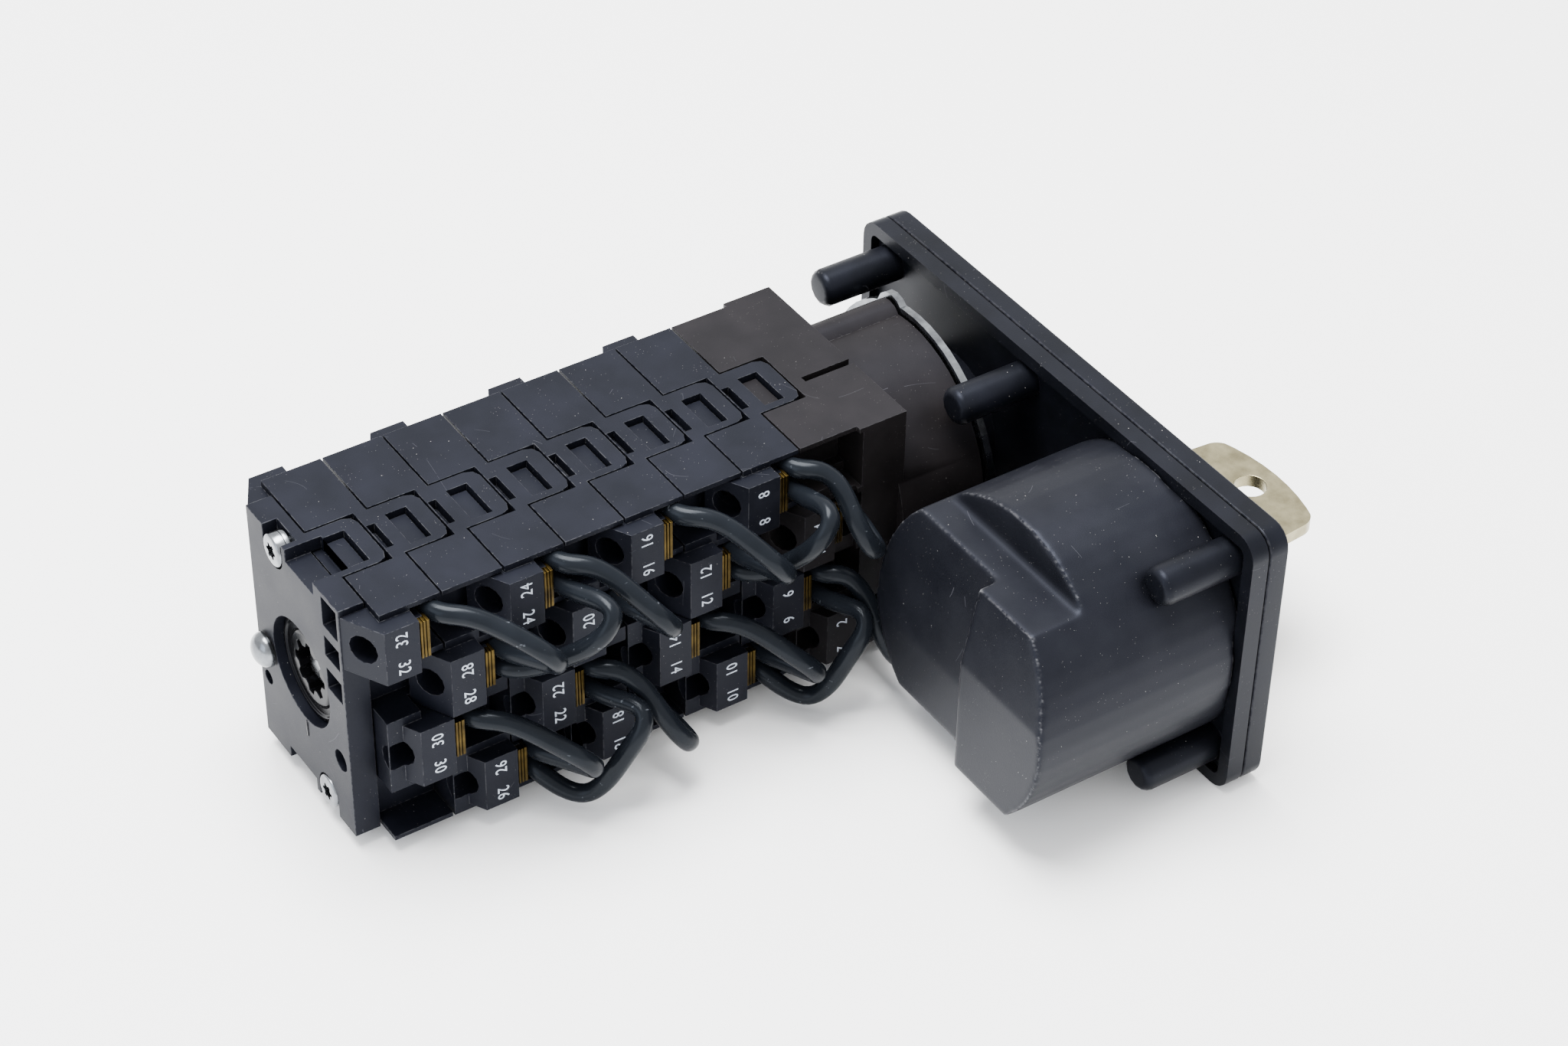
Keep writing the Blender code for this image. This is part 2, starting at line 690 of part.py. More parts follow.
def latch_housing():
    """The latch housing: barrel, detent chamber and the first contact level."""
    length = LATCH_LENGTH
    half = LATCH_WIDTH / 2
    body = box((-HALF_W, -0.001, -HALF_H), (HALF_W, STAGE_LENGTH, HALF_H), "latch")
    join(body, box((-half, STAGE_LENGTH - length, -HALF_H), (half, -FIT, HALF_H), "latch_front"))
    for side, (row, start) in [(side, block) for side in (-1, 1) for block in ODD_BLOCKS]:
        if start == BLOCK_EARLY:
            low, high = row_band(row)
            near, far = sorted((side * CORE_HALF, side * (BLOCK_REACH + 0.004)))
            cut(body, box(
                (near, -LATCH_WIRE_ROOM, low + (RIB / 2 if row < 3 else LID)),
                (far, BLOCK_EARLY, high - (RIB / 2 if row > 0 else LID)),
                "wire_room",
            ))
    add_terminals(body, STAGE_LENGTH, ODD_BLOCKS)
    front = STAGE_LENGTH - length
    cut(body, box(
        (-CHAMBER_HALF_X, CHAMBER_FLOOR, -CHAMBER_HALF_Z),
        (CHAMBER_HALF_X, STAGE_LENGTH + 0.001, CHAMBER_HALF_Z),
        "chamber",
    ))
    for turned in (False, True):
        seat, catch, slot = tongue_seat(STAGE_LENGTH, turned)
        cut(body, seat)
        join(body, catch)
    join(body, rod(BARREL_RADIUS, front - BARREL_LENGTH, front + 0.001, segments=48))
    for x, z in tie_points():
        ridge_z = z - math.copysign(0.0005, z)
        join(body, rod(RIDGE_RADIUS, front - BARREL_LENGTH, front + 0.001, x, ridge_z, 14))
    for x, z in tie_points():
        cut(body, rod(TIE_RADIUS + FIT, front - BARREL_LENGTH - 0.001, STAGE_LENGTH + 0.001, x, z, 8))
    cut(body, rod(SHAFT_BORE, front - BARREL_LENGTH - 0.001, STAGE_LENGTH + 0.001, segments=16))
    star_middle = front + 0.0045
    half = STAR_WIDTH / 2 + RUNNING
    cut(body, rod(STAR_RADIUS + 0.0006, star_middle - half, star_middle + half, segments=20))
    pocket = ROLLER_RADIUS + FIT
    bore = [(0, star_middle, side * ROLLER_BORE_END) for side in (-1, 1)]
    cut(body, pin_between(pocket, bore[0], bore[1], 12, "roller_pocket"))
    cut(body, box(
        (GROOVE_X - GROOVE_WIDTH, front - 0.001, HALF_H - GROOVE_WIDTH), (GROOVE_X, 0.0, HALF_H + 0.001), "groove",
    ))
    mesh = baked(body)
    mesh.transform(Matrix.Translation((0, STACK_FRONT - STAGE_PITCH, 0)))
    return part("latch_housing", as_object("latch_shape", mesh), "latch_brown")


def star_middle_y():
    """Middle of the detent star along the stack."""
    return LATCH_FRONT + 0.0045


def plate_outline(inset):
    """Outline of the front plate, drawn in by an inset."""
    return rounded_rectangle(
        PLATE_SIDE - PLATE_WIDTH + inset, PLATE_SIDE - inset,
        -HALF_PLATE + inset, HALF_PLATE - inset, max(PLATE_CORNER - inset, 0.0008),
    )


def cylinder_outline(gap):
    """Outline of the profile lock cylinder, (x, z), grown by a gap."""
    r = CYLINDER_RADIUS + gap
    w = CYLINDER_WEB / 2 + gap
    reach = LOCK_X - CYLINDER_HEIGHT + CYLINDER_RADIUS - gap
    split = math.degrees(math.asin(w / r))
    return arc((LOCK_X, 0), r, -180 + split, 180 - split, 20) + arc((reach + w, 0), w, 90, 270, 8)


def front_cover():
    """The front cover of the plate, hollow behind for the drive link."""
    front = -PLATE_DEPTH
    back = -RIM_DEPTH - FIT
    body = outline_solid(plate_outline(0), front, back, name="cover")
    hollow = outline_solid(plate_outline(COVER_WALL), front + COVER_FACE, back + 0.001, name="cover_hollow")
    cut(body, hollow)
    cut(body, outline_solid(cylinder_outline(FIT), front - 0.001, back + 0.001, name="lock_hole"))
    return part("front_cover", body, "plate_black")


def peg_places():
    """The six pegs' places, (x, z)."""
    half = PEG_HALF
    return [(x, z) for x in (half, -half, -LOCK_PITCH - half) for z in (half, -half)]


def back_plate():
    """The backing plate: floor, rim, collar round the shaft and six pegs."""
    body = outline_solid(plate_outline(0), -RIM_DEPTH, 0, name="backing")
    cut(body, outline_solid(plate_outline(RIM_WIDTH), FLOOR_BACK, 0.001, name="backing_recess"))
    peg = [
        (PEG_RADIUS, FLOOR_BACK - 0.0005),
        (PEG_RADIUS, PEG_REACH - PEG_ROUND),
        (PEG_RADIUS * 0.84, PEG_REACH - PEG_ROUND * 0.3),
        (PEG_RADIUS * 0.6, PEG_REACH),
    ]
    for x, z in peg_places():
        join(body, turned_solid(peg, x, z, 12, "peg"))
    join(body, rod(COLLAR_RADIUS, FLOOR_BACK - 0.0005, DISC_FRONT - FIT, segments=24))
    cut(body, rod(SHAFT_BORE, -0.010, DISC_FRONT + 0.001, segments=16))
    cut(body, outline_solid(cylinder_outline(FIT), -0.010, 0.001, name="lock_hole"))
    cut(body, rod(TRANSFER_SHAFT_RADIUS + FIT, -0.010, 0.001, TRANSFER_X, TRANSFER_Z, 16))
    return part("back_plate", body, "plate_black")


def drum_rear(reach, crease):
    """Outline, (y, z), of what is cut away behind one half of the drum: upright below a crease, then leaning."""
    beyond = DRUM_REACH + 0.002
    wide = DRUM_RADIUS + 0.002
    lean = DRUM_LEAN * (wide - crease) / (DRUM_FLAT - crease)
    return [(reach, -wide), (reach, crease), (reach - lean, wide), (beyond, wide), (beyond, -wide)]


def drum_shape(front):
    """The drum's outer form: flats above and below at the rear, and a rear face in two steps."""
    x0 = -LOCK_PITCH
    wide = DRUM_RADIUS + 0.002
    body = rod(DRUM_RADIUS, front, DRUM_REACH, x0, 0, 48)
    flats = (
        (DRUM_REACH - DRUM_FLAT_LENGTH, DRUM_FLAT, wide),
        (GEAR_ROOM_END + DRUM_WALL, -wide, -DRUM_FLAT),
    )
    for start, low, high in flats:
        cut(body, box((x0 - wide, start, low), (x0 + wide, DRUM_REACH + 0.002, high), "flat"))
    split = x0 - DRUM_SPLIT
    cut(body, outline_solid(drum_rear(DRUM_REACH, DRUM_CREASE_FAR), x0 - wide, split, "X", name="far_rear"))
    cut(body, outline_solid(
        drum_rear(DRUM_REACH - DRUM_STEP, DRUM_CREASE_NEAR), split, x0 + wide, "X", name="near_rear",
    ))
    shape = as_object("drum_shape", tidied(baked(body)))
    return bevel(shape, DRUM_EDGE, 2)


def lock_housing():
    """The drum over the lock, with flats above and below and a stepped rear face."""
    x0 = -LOCK_PITCH
    front = FLOOR_BACK + FIT
    body = drum_shape(front)
    hollow_end = CYLINDER_REACH + FIT
    cut(body, rod(DRUM_RADIUS - DRUM_WALL, front - 0.001, hollow_end, x0, 0, 28))
    gear_room = GEAR_PITCH_RADIUS + GEAR_MODULE + 0.0007
    rim = outline_solid(
        plate_outline(-0.002), front - 0.001, FIT, holes=(plate_outline(RIM_WIDTH + FIT),), name="rim_room",
    )
    cut(body, rim)
    for x, z in peg_places():
        cut(body, rod(PEG_RADIUS + FIT, front - 0.001, PEG_REACH + FIT, x, z, 12))
    cut(body, rod(gear_room, hollow_end - 0.001, GEAR_ROOM_END, LOCK_X, 0, 20))
    cut(body, rod(gear_room, hollow_end - 0.001, GEAR_ROOM_END, TRANSFER_X, TRANSFER_Z, 20))
    return part("lock_housing", body, "plate_black")


def lock_cylinder():
    """The profile cylinder that holds the plug."""
    body = outline_solid(cylinder_outline(0), -PLATE_DEPTH - 0.0004, CYLINDER_REACH, name="profile")
    cut(body, rod(PLUG_RADIUS + FIT, -0.010, CYLINDER_REACH + 0.001, LOCK_X, 0, 28))
    return part("lock_cylinder", body, "nickel_brass")


def gear_outline(centre, phase):
    """Outline of a spur gear with involute flanks."""
    pressure = math.radians(20)
    base = GEAR_PITCH_RADIUS * math.cos(pressure)
    outer = GEAR_PITCH_RADIUS + 0.9 * GEAR_MODULE
    root = GEAR_PITCH_RADIUS - 1.15 * GEAR_MODULE

    def involute(radius):
        """Polar angle of the involute where it meets a radius."""
        if radius <= base:
            return 0.0
        t = math.sqrt((radius / base) ** 2 - 1)
        return t - math.atan(t)

    half_tooth = (math.pi * GEAR_MODULE / 2 - GEAR_BACKLASH) / (2 * GEAR_PITCH_RADIUS)
    at_pitch = involute(GEAR_PITCH_RADIUS)
    radii = [base + (outer - base) * i / 2 for i in range(3)]
    points = []
    for tooth in range(GEAR_TEETH):
        middle = phase + 2 * math.pi * tooth / GEAR_TEETH
        flank = [(r, half_tooth + at_pitch - involute(r)) for r in radii]
        rising = [(root, flank[0][1])] + flank
        for r, a in rising:
            points.append((centre[0] + r * math.cos(middle - a), centre[1] + r * math.sin(middle - a)))
        for r, a in reversed(rising):
            points.append((centre[0] + r * math.cos(middle + a), centre[1] + r * math.sin(middle + a)))
    return points


def gear_span():
    """Front and back of the two gears."""
    start = CYLINDER_REACH + FIT + 0.0004
    return start, start + GEAR_WIDTH


def mesh_line():
    """Angle of the line from the lock's gear to the transfer gear."""
    return math.atan2(TRANSFER_Z, TRANSFER_X - LOCK_X)


def lock_moving():
    """The plug, its gear and the key."""
    axis = empty("key_turn_axis", FRAME, (LOCK_X, 0, 0))
    pivot = (LOCK_X, 0, 0)
    start, end = gear_span()
    plug = rod(PLUG_RADIUS, -PLATE_DEPTH - 0.0004, CYLINDER_REACH, LOCK_X, 0, 28)
    join(plug, rod(PLUG_TAIL_RADIUS, CYLINDER_REACH - 0.001, end + 0.0006, LOCK_X, 0, 20))
    half_w = KEY_BLADE_WIDTH / 2 + FIT
    half_t = KEY_THICKNESS / 2 + FIT
    blade_front = -PLATE_DEPTH - 0.001
    blade_end = blade_front + KEY_BLADE_LENGTH
    cut(plug, box(
        (LOCK_X - half_w, -0.02, -half_t), (LOCK_X + half_w, blade_end + FIT, half_t), "keyway",
    ))
    part("lock_plug", plug, "nickel_brass", axis, pivot)
    line = mesh_line()
    gear = outline_solid(gear_outline((LOCK_X, 0), line), start, end, name="gear")
    cut(gear, rod(PLUG_TAIL_RADIUS + FIT, start - 0.001, end + 0.001, LOCK_X, 0, 20))
    part("lock_gear", gear, "zinc_steel", axis, pivot)
    part("key", key_solid(), "nickel_brass", axis, pivot)


def key_solid():
    """The key: arched bow with a ring hole, shoulder and cut blade."""
    front = KEY_SHOULDER
    bow_near = front - 0.0030
    bow_far = KEY_FAR
    half = KEY_BOW_WIDTH / 2
    blade = KEY_BLADE_WIDTH / 2
    tip = -PLATE_DEPTH - 0.001 + KEY_BLADE_LENGTH
    corner = 0.0028
    sweep = 24
    arch_radius = half / math.sin(math.radians(sweep))
    arch = arc((LOCK_X, bow_far + arch_radius), arch_radius, -90 + sweep - 3, -90 - sweep + 3, 8)
    shoulder = [
        (LOCK_X - half, bow_near - corner),
        (LOCK_X - half + corner, bow_near),
        (LOCK_X - blade, bow_near),
    ]
    cuts = []
    depths = (0.0012, 0.0022, 0.0008, 0.0018, 0.0010)
    pitch = 0.0038
    first = front + 0.0050
    for index, depth in enumerate(depths):
        y = first + index * pitch
        cuts += [
            (LOCK_X - blade, y - depth * 0.6 - 0.0004),
            (LOCK_X - blade + depth, y - 0.0004),
            (LOCK_X - blade + depth, y + 0.0004),
            (LOCK_X - blade, y + depth * 0.6 + 0.0004),
        ]
    end = [(LOCK_X - blade, tip - 0.0020), (LOCK_X - blade + 0.0020, tip)]
    end += [(LOCK_X + blade - 0.0012, tip), (LOCK_X + blade, tip - 0.0012)]
    back = [
        (LOCK_X + blade, bow_near),
        (LOCK_X + half - corner, bow_near),
        (LOCK_X + half, bow_near - corner),
    ]
    outline = arch + shoulder + cuts + end + back
    hole = arc((LOCK_X, bow_far + 0.0052), KEY_HOLE_RADIUS, 0, 342, 19)
    body = outline_solid(outline, -KEY_THICKNESS / 2, KEY_THICKNESS / 2, "Z", (hole,), "key_shape")
    return body


def crank_layers():
    """Stations of the crank arms and of the link in the cover."""
    arm_back = -RIM_DEPTH - FIT
    arm_front = arm_back - CRANK_THICKNESS
    link_back = arm_front - FIT
    return arm_front, arm_back, link_back - LINK_THICKNESS, link_back


def crank_pin(x, z):
    """Place of the crank pin for a shaft at x, z: square to the line between the two shafts."""
    line = Vector((-TRANSFER_X, -TRANSFER_Z)).normalized()
    return x + line.y * CRANK_ARM, z - line.x * CRANK_ARM


def bar_outline(start, end, width):
    """Outline of a bar with round ends between two points, (x, z)."""
    line = math.degrees(math.atan2(end[1] - start[1], end[0] - start[0]))
    return arc(end, width / 2, line - 90, line + 90, 8) + arc(start, width / 2, line + 90, line + 270, 8)


def transfer_shaft():
    """The shaft beside the lock: pinion at the rear, crank arm and pin at the front."""
    axis = empty("transfer_axis", FRAME, (TRANSFER_X, 0, TRANSFER_Z))
    centre = (TRANSFER_X, TRANSFER_Z)
    start, end = gear_span()
    arm_front, arm_back, link_front, link_back = crank_layers()
    facing = mesh_line() + math.pi
    body = outline_solid(
        gear_outline(centre, facing + math.pi / GEAR_TEETH), start, end, name="pinion",
    )
    join(body, rod(TRANSFER_SHAFT_RADIUS, arm_front + 0.0001, end + 0.0008, *centre, 16))
    pin = crank_pin(*centre)
    arm = outline_solid(bar_outline(centre, pin, CRANK_WIDTH), arm_front, arm_back, name="arm")
    join(body, arm)
    join(body, rod(CRANK_PIN_RADIUS, link_front - FIT, arm_front + 0.0004, *pin, 16))
    part("transfer_shaft", body, "zinc_steel", axis, (TRANSFER_X, 0, TRANSFER_Z))


def drive_link():
    """The link between the two crank pins."""
    start = crank_pin(TRANSFER_X, TRANSFER_Z)
    end = crank_pin(0, 0)
    axis = empty("link_axis", FRAME, (start[0], 0, start[1]))
    _, _, front, back = crank_layers()
    body = outline_solid(bar_outline(start, end, LINK_WIDTH), front, back, name="link")
    for x, z in (start, end):
        cut(body, rod(CRANK_PIN_RADIUS + FIT, front - 0.001, back + 0.001, x, z, 16))
    part("drive_link", body, "zinc_steel", axis, (start[0], 0, start[1]))


def star_outline():
    """Outline of the detent star: a wavy circle."""
    count = STAR_LOBES * 5
    points = []
    for i in range(count):
        a = 2 * math.pi * i / count
        r = STAR_RADIUS - STAR_DEPTH * (1 + math.cos(STAR_LOBES * (a - math.pi / 2))) / 2
        points.append((r * math.cos(a), r * math.sin(a)))
    return points


def cam_levels():
    """Front of each of the eight cams."""
    return [
        STACK_FRONT + (level - 1) * STAGE_PITCH + CHAMBER_FLOOR + RUNNING
        for level in range(STAGE_COUNT + 1)
    ]


def shaft_group():
    """Everything that turns with the switch shaft."""
    axis = empty("shaft_axis", FRAME, (0, 0, 0))
    arm_front, arm_back, link_front, _ = crank_layers()
    half = SHAFT_SIDE / 2
    shaft_back = END_BACK - HUB_RECESS - HUB_THICKNESS / 2 - FIT
    shaft = box((-half, arm_front + 0.0002, -half), (half, shaft_back, half), "shaft")
    bevel(shaft, 0.0005, 1)
    part("switch_shaft", shaft, "zinc_steel", axis)

    pin = crank_pin(0, 0)
    crank = outline_solid(bar_outline((0, 0), pin, SHAFT_SIDE + 0.0050), arm_front, arm_back, name="crank")
    cut(crank, square_hole(SHAFT_SIDE, arm_front - 0.001, arm_back + 0.001))
    join(crank, rod(CRANK_PIN_RADIUS, link_front - FIT, arm_front + 0.0004, *pin, 16))
    part("shaft_crank", crank, "zinc_steel", axis)

    middle = star_middle_y()
    star = outline_solid(star_outline(), middle - STAR_WIDTH / 2, middle + STAR_WIDTH / 2, name="star")
    cut(star, square_hole(SHAFT_SIDE, middle - STAR_WIDTH, middle + STAR_WIDTH))
    part("detent_star", star, "moving_plastic", axis)

    for level, front in enumerate(cam_levels()):
        throw = CAM_THROW * (1 if level % 2 else -1)
        cam = rod(CAM_RADIUS, front, front + CAM_WIDTH, throw, 0, 24)
        cut(cam, square_hole(SHAFT_SIDE, front - 0.001, front + CAM_WIDTH + 0.001))
        part("cam_%d" % (level + 1), cam, "moving_plastic", axis)

    hub_back = END_BACK - HUB_RECESS
    hub_front = hub_back - HUB_THICKNESS
    hub = rod(HUB_HOLE - RUNNING, hub_front + FIT, hub_back, segments=40)
    cut(hub, square_hole(SHAFT_SIDE, hub_front - 0.001, shaft_back + FIT))
    star_points = []
    for i in range(16):
        r = STAR_HOLE_RADIUS * (1 if i % 2 else 0.74)
        a = 2 * math.pi * i / 16
        star_points.append((r * math.cos(a), r * math.sin(a)))
    cut(hub, outline_solid(star_points, shaft_back - 0.0002, hub_back + 0.001, name="star_hole"))
    part("rear_hub", hub, "gloss_black", axis)


def contact_yokes():
    """Eight sliding yokes, each round its cam, with a contact bar above and below."""
    for level, front in enumerate(cam_levels()):
        outer = rounded_rectangle(-YOKE_HALF_X, YOKE_HALF_X, -YOKE_HALF_Z, YOKE_HALF_Z, 0.0030, 2)
        inner_z = CAM_RADIUS + FIT
        inner = rounded_rectangle(-YOKE_INNER_X, YOKE_INNER_X, -inner_z, inner_z, 0.0005, 1)
        yoke = outline_solid(outer, front, front + CAM_WIDTH, holes=(inner,), name="yoke")
        part("contact_yoke_%d" % (level + 1), yoke, "contact_silver")


def mounting_disc():
    """The zinc disc between the plate's collar and the latch barrel."""
    body = rod(DISC_RADIUS, DISC_FRONT, DISC_BACK, segments=48)
    for x, z in tie_points():
        join(body, rod(DISC_EAR, DISC_FRONT, DISC_BACK, x, z, 14))
    cut(body, rod(DISC_BORE, DISC_FRONT - 0.001, DISC_BACK + 0.001, segments=18))
    for x, z in tie_points():
        cut(body, rod(TIE_RADIUS + FIT, DISC_FRONT - 0.001, DISC_BACK + 0.001, x, z, 8))
    return part("mounting_disc", body, "zinc_steel")


def detents():
    """Two sprung rollers, above and below the star."""
    middle = star_middle_y()
    tip = STAR_RADIUS + FIT
    for name, sign in (("upper", 1), ("lower", -1)):
        axis = empty("detent_%s_axis" % name, FRAME, (0, middle, sign * tip))
        nose = 0.0012
        body = pin_between(
            ROLLER_RADIUS, (0, middle, sign * (tip + nose)), (0, middle, sign * (tip + 0.0042)), 16, "roller",
        )
        bm = bmesh.new()
        bmesh.ops.create_cone(
            bm, cap_ends=True, segments=16, radius1=ROLLER_RADIUS * 0.35, radius2=ROLLER_RADIUS, depth=nose,
        )
        bmesh.ops.translate(bm, vec=(0, 0, nose / 2), verts=bm.verts)
        bmesh.ops.scale(bm, vec=(1, 1, sign), verts=bm.verts)
        bmesh.ops.translate(bm, vec=(0, middle, sign * tip), verts=bm.verts)
        join(body, as_object("roller_nose", from_bmesh("roller_nose", bm)))
        part("detent_%s" % name, body, "zinc_steel", axis, (0, middle, sign * tip))
        start = tip + 0.0042 + FIT + SPRING_WIRE
        end = ROLLER_BORE_END - FIT - SPRING_WIRE
        data = bpy.data.curves.new("spring", "CURVE")
        data.dimensions = "3D"
        data.bevel_depth = SPRING_WIRE
        data.bevel_resolution = 0
        data.use_fill_caps = True
        steps = SPRING_TURNS * 9
        spline = data.splines.new("POLY")
        spline.points.add(steps)
        for i, point in enumerate(spline.points):
            a = 2 * math.pi * SPRING_TURNS * i / steps
            z = sign * (start + (end - start) * i / steps)
            point.co = (SPRING_RADIUS * math.cos(a) * 0.8, middle + SPRING_RADIUS * math.sin(a) * 0.8, z, 1)
        part("detent_spring_%s" % name, as_object("spring_shape", curve_mesh(data, "spring")), "zinc_steel")


def fasteners():
    """Tie screws, their spring washers and the domed screw beside the hub."""
    head_floor = END_BACK - TIE_HEAD_HEIGHT - WASHER_THICKNESS
    for name, (x, z) in zip(("upper", "lower"), tie_points()):
        washer = rod(TIE_HEAD_RADIUS, head_floor + FIT, head_floor + WASHER_THICKNESS, x, z, 20)
        cut(washer, rod(TIE_RADIUS + FIT, head_floor - 0.001, END_BACK, x, z, 12))
        part("spring_washer_%s" % name, washer, "zinc_steel")
        head = head_floor + WASHER_THICKNESS + FIT
        screw = rod(TIE_HEAD_RADIUS, head, head + TIE_HEAD_HEIGHT, x, z, 20)
        join(screw, rod(TIE_RADIUS, DISC_FRONT - 0.0012, head + 0.0005, x, z, 12))
        cut(screw, rod(0.0011, head + TIE_HEAD_HEIGHT - 0.0009, head + TIE_HEAD_HEIGHT + 0.001, x, z, 6))
        part("tie_screw_%s" % name, screw, "zinc_steel")
    base = END_BACK + FIT
    dome = [
        (RIVET_RADIUS * math.cos(math.radians(a)), base + RIVET_DOME * RIVET_RADIUS * math.sin(math.radians(a)))
        for a in (0, 24, 48, 70, 84)
    ]
    part("side_screw", turned_solid(dome, RIVET_X, -RIVET_DROP, 16, "dome"), "zinc_steel")


# Jumper wires: (level, row) of each end, then how far the loop's tip stands forward of and below
# the middle of its two ends, and how far the wire sags beside its first end
JUMPERS = (
    ((8, 0), (7, 1), 0.0082, 0.0018, 0.0),
    ((7, 1), (6, 0), 0.0073, -0.0039, 0.0),
    ((6, 0), (5, 1), 0.0074, 0.0042, 0.0),
    ((4, 0), (3, 1), 0.0070, 0.0030, 0.0),
    ((3, 1), (2, 0), 0.0044, -0.0050, 0.0),
    ((2, 0), (1, 1), 0.0028, 0.0054, 0.0),
    ((8, 2), (7, 3), 0.0092, 0.0030, 0.0),
    ((7, 3), (6, 2), 0.0082, -0.0034, 0.0042),
    ((6, 2), (5, 3), 0.0056, 0.0062, 0.0),
    ((4, 2), (3, 3), 0.0082, 0.0033, 0.0),
    ((3, 3), (2, 2), 0.0072, -0.0036, 0.0042),
    ((2, 2), (1, 3), 0.0035, 0.0075, 0.0),
)


def block_front(level, row):
    """Front face of a visible terminal block along the stack."""
    stage_front = STACK_FRONT + (level - 2) * STAGE_PITCH
    return stage_front + (BLOCK_LATE if row < 2 else BLOCK_EARLY)


def wire_end(level, row, upper):
    """Place where a wire enters its terminal on the -X side."""
    high = row_band(row)[1]
    y = block_front(level, row) - TERMINAL_DEPTH - FIT - WIRE_RADIUS
    wall = RIB / 2 if row else LID
    z = high - wall - FIT - WIRE_RADIUS
    return Vector((-CORE_HALF - FIT, y, z if upper else z - WIRE_SPACING))


def smooth(points, count):
    """Evenly spaced points on a Catmull-Rom curve through the given points."""
    ends = [2 * points[0] - points[1]] + list(points) + [2 * points[-1] - points[-2]]
    fine = []
    for i in range(1, len(ends) - 2):
        p0, p1, p2, p3 = ends[i - 1:i + 3]
        for step in range(16):
            t = step / 16
            fine.append(0.5 * (
                2 * p1 + (p2 - p0) * t + (2 * p0 - 5 * p1 + 4 * p2 - p3) * t * t
                + (3 * p1 - p0 - 3 * p2 + p3) * t * t * t
            ))
    fine.append(points[-1])
    lengths = [0.0]
    for a, b in zip(fine, fine[1:]):
        lengths.append(lengths[-1] + (b - a).length)
    result = []
    k = 0
    for i in range(count):
        target = lengths[-1] * i / (count - 1)
        while k < len(fine) - 2 and lengths[k + 1] < target:
            k += 1
        share = (target - lengths[k]) / (lengths[k + 1] - lengths[k])
        result.append(fine[k].lerp(fine[k + 1], share))
    return result


def jumper_route(index):
    """Points of one jumper wire from terminal to terminal."""
    first, last, forward, drop, sag = JUMPERS[index]
    falling = last[1] > first[1]
    start = wire_end(*first, upper=falling)
    end = wire_end(*last, upper=falling)
    middle = (start + end) / 2
    tip = Vector((-BLOCK_REACH - LOOP_REACH, middle.y - forward, middle.z - drop))
    span = end - start
    out = Vector((-(BLOCK_REACH - CORE_HALF) * 0.75, 0, 0))
    return [
        start,
        start + out,
        start + out + Vector((
            -LOOP_REACH * 0.4 - sag * 0.8, -LOOP_LEAN - sag * 0.15, math.copysign(0.0006, span.z) - sag,
        )),
        tip + Vector((0, span.y * -0.16, span.z * -0.20)),
        tip + Vector((0, span.y * 0.16, span.z * 0.20)),
        (end + out).lerp(tip, 0.55) + span * 0.10,
        end + out,
        end,
    ]


def jumper_wires():
    """The twelve jumper wires on the -X side."""
    for index in range(len(JUMPERS)):
        data = bpy.data.curves.new("wire", "CURVE")
        data.dimensions = "3D"
        data.bevel_depth = WIRE_RADIUS
        data.bevel_resolution = 2
        data.use_fill_caps = True
        route = smooth(jumper_route(index), WIRE_POINTS)
        spline = data.splines.new("POLY")
        spline.points.add(len(route) - 1)
        for point, place in zip(spline.points, route):
            point.co = (*place, 1.0)
        mesh = curve_mesh(data, "wire")
        part("jumper_wire_%d" % (index + 1), as_object("wire_shape", mesh), "wire_sheath")


def build():
    """Make every part."""
    front_cover()
    back_plate()
    lock_housing()
    lock_cylinder()
    lock_moving()
    transfer_shaft()
    drive_link()
    mounting_disc()
    latch_housing()
    stage_housings()
    end_plate()
    shaft_group()
    contact_yokes()
    detents()
    fasteners()
    jumper_wires()


build()
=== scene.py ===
"""Looks for the key-operated cam switch: moulded housings, brass terminals, wires, lock and studio.

Places are given in millimetres in the switch's own frame: the origin is on the switch axis in the
plane where the plate meets the panel, +Y runs back along the stack and +Z is up.
"""

import json
import math

import bmesh
import bpy
from mathutils import Matrix, Vector


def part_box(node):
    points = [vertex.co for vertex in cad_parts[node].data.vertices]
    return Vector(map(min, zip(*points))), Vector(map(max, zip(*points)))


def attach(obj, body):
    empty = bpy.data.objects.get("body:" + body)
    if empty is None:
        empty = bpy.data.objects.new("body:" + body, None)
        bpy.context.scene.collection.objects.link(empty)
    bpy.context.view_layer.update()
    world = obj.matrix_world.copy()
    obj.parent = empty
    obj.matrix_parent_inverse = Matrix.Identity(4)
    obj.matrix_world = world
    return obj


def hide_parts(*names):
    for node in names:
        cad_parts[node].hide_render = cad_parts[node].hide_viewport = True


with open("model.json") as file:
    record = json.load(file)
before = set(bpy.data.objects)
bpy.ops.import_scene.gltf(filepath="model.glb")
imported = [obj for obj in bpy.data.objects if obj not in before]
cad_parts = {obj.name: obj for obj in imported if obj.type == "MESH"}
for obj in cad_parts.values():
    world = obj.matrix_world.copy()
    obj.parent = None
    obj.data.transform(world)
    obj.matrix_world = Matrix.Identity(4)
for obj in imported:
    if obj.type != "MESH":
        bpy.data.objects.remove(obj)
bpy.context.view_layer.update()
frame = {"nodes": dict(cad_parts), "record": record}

MM = 0.001
BODY = "switch_body"

plate_low, plate_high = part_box("front_cover")
seat = frame["record"]["mounts"][0]["pos_m"]
ORIGIN = Vector((plate_high.x - 24.2 * MM, seat[1], (plate_low.z + plate_high.z) / 2))


def at(x, y, z):
    """A place in the row frame, in metres, from millimetres in the switch's frame."""
    return ORIGIN + Vector((x, y, z)) * MM


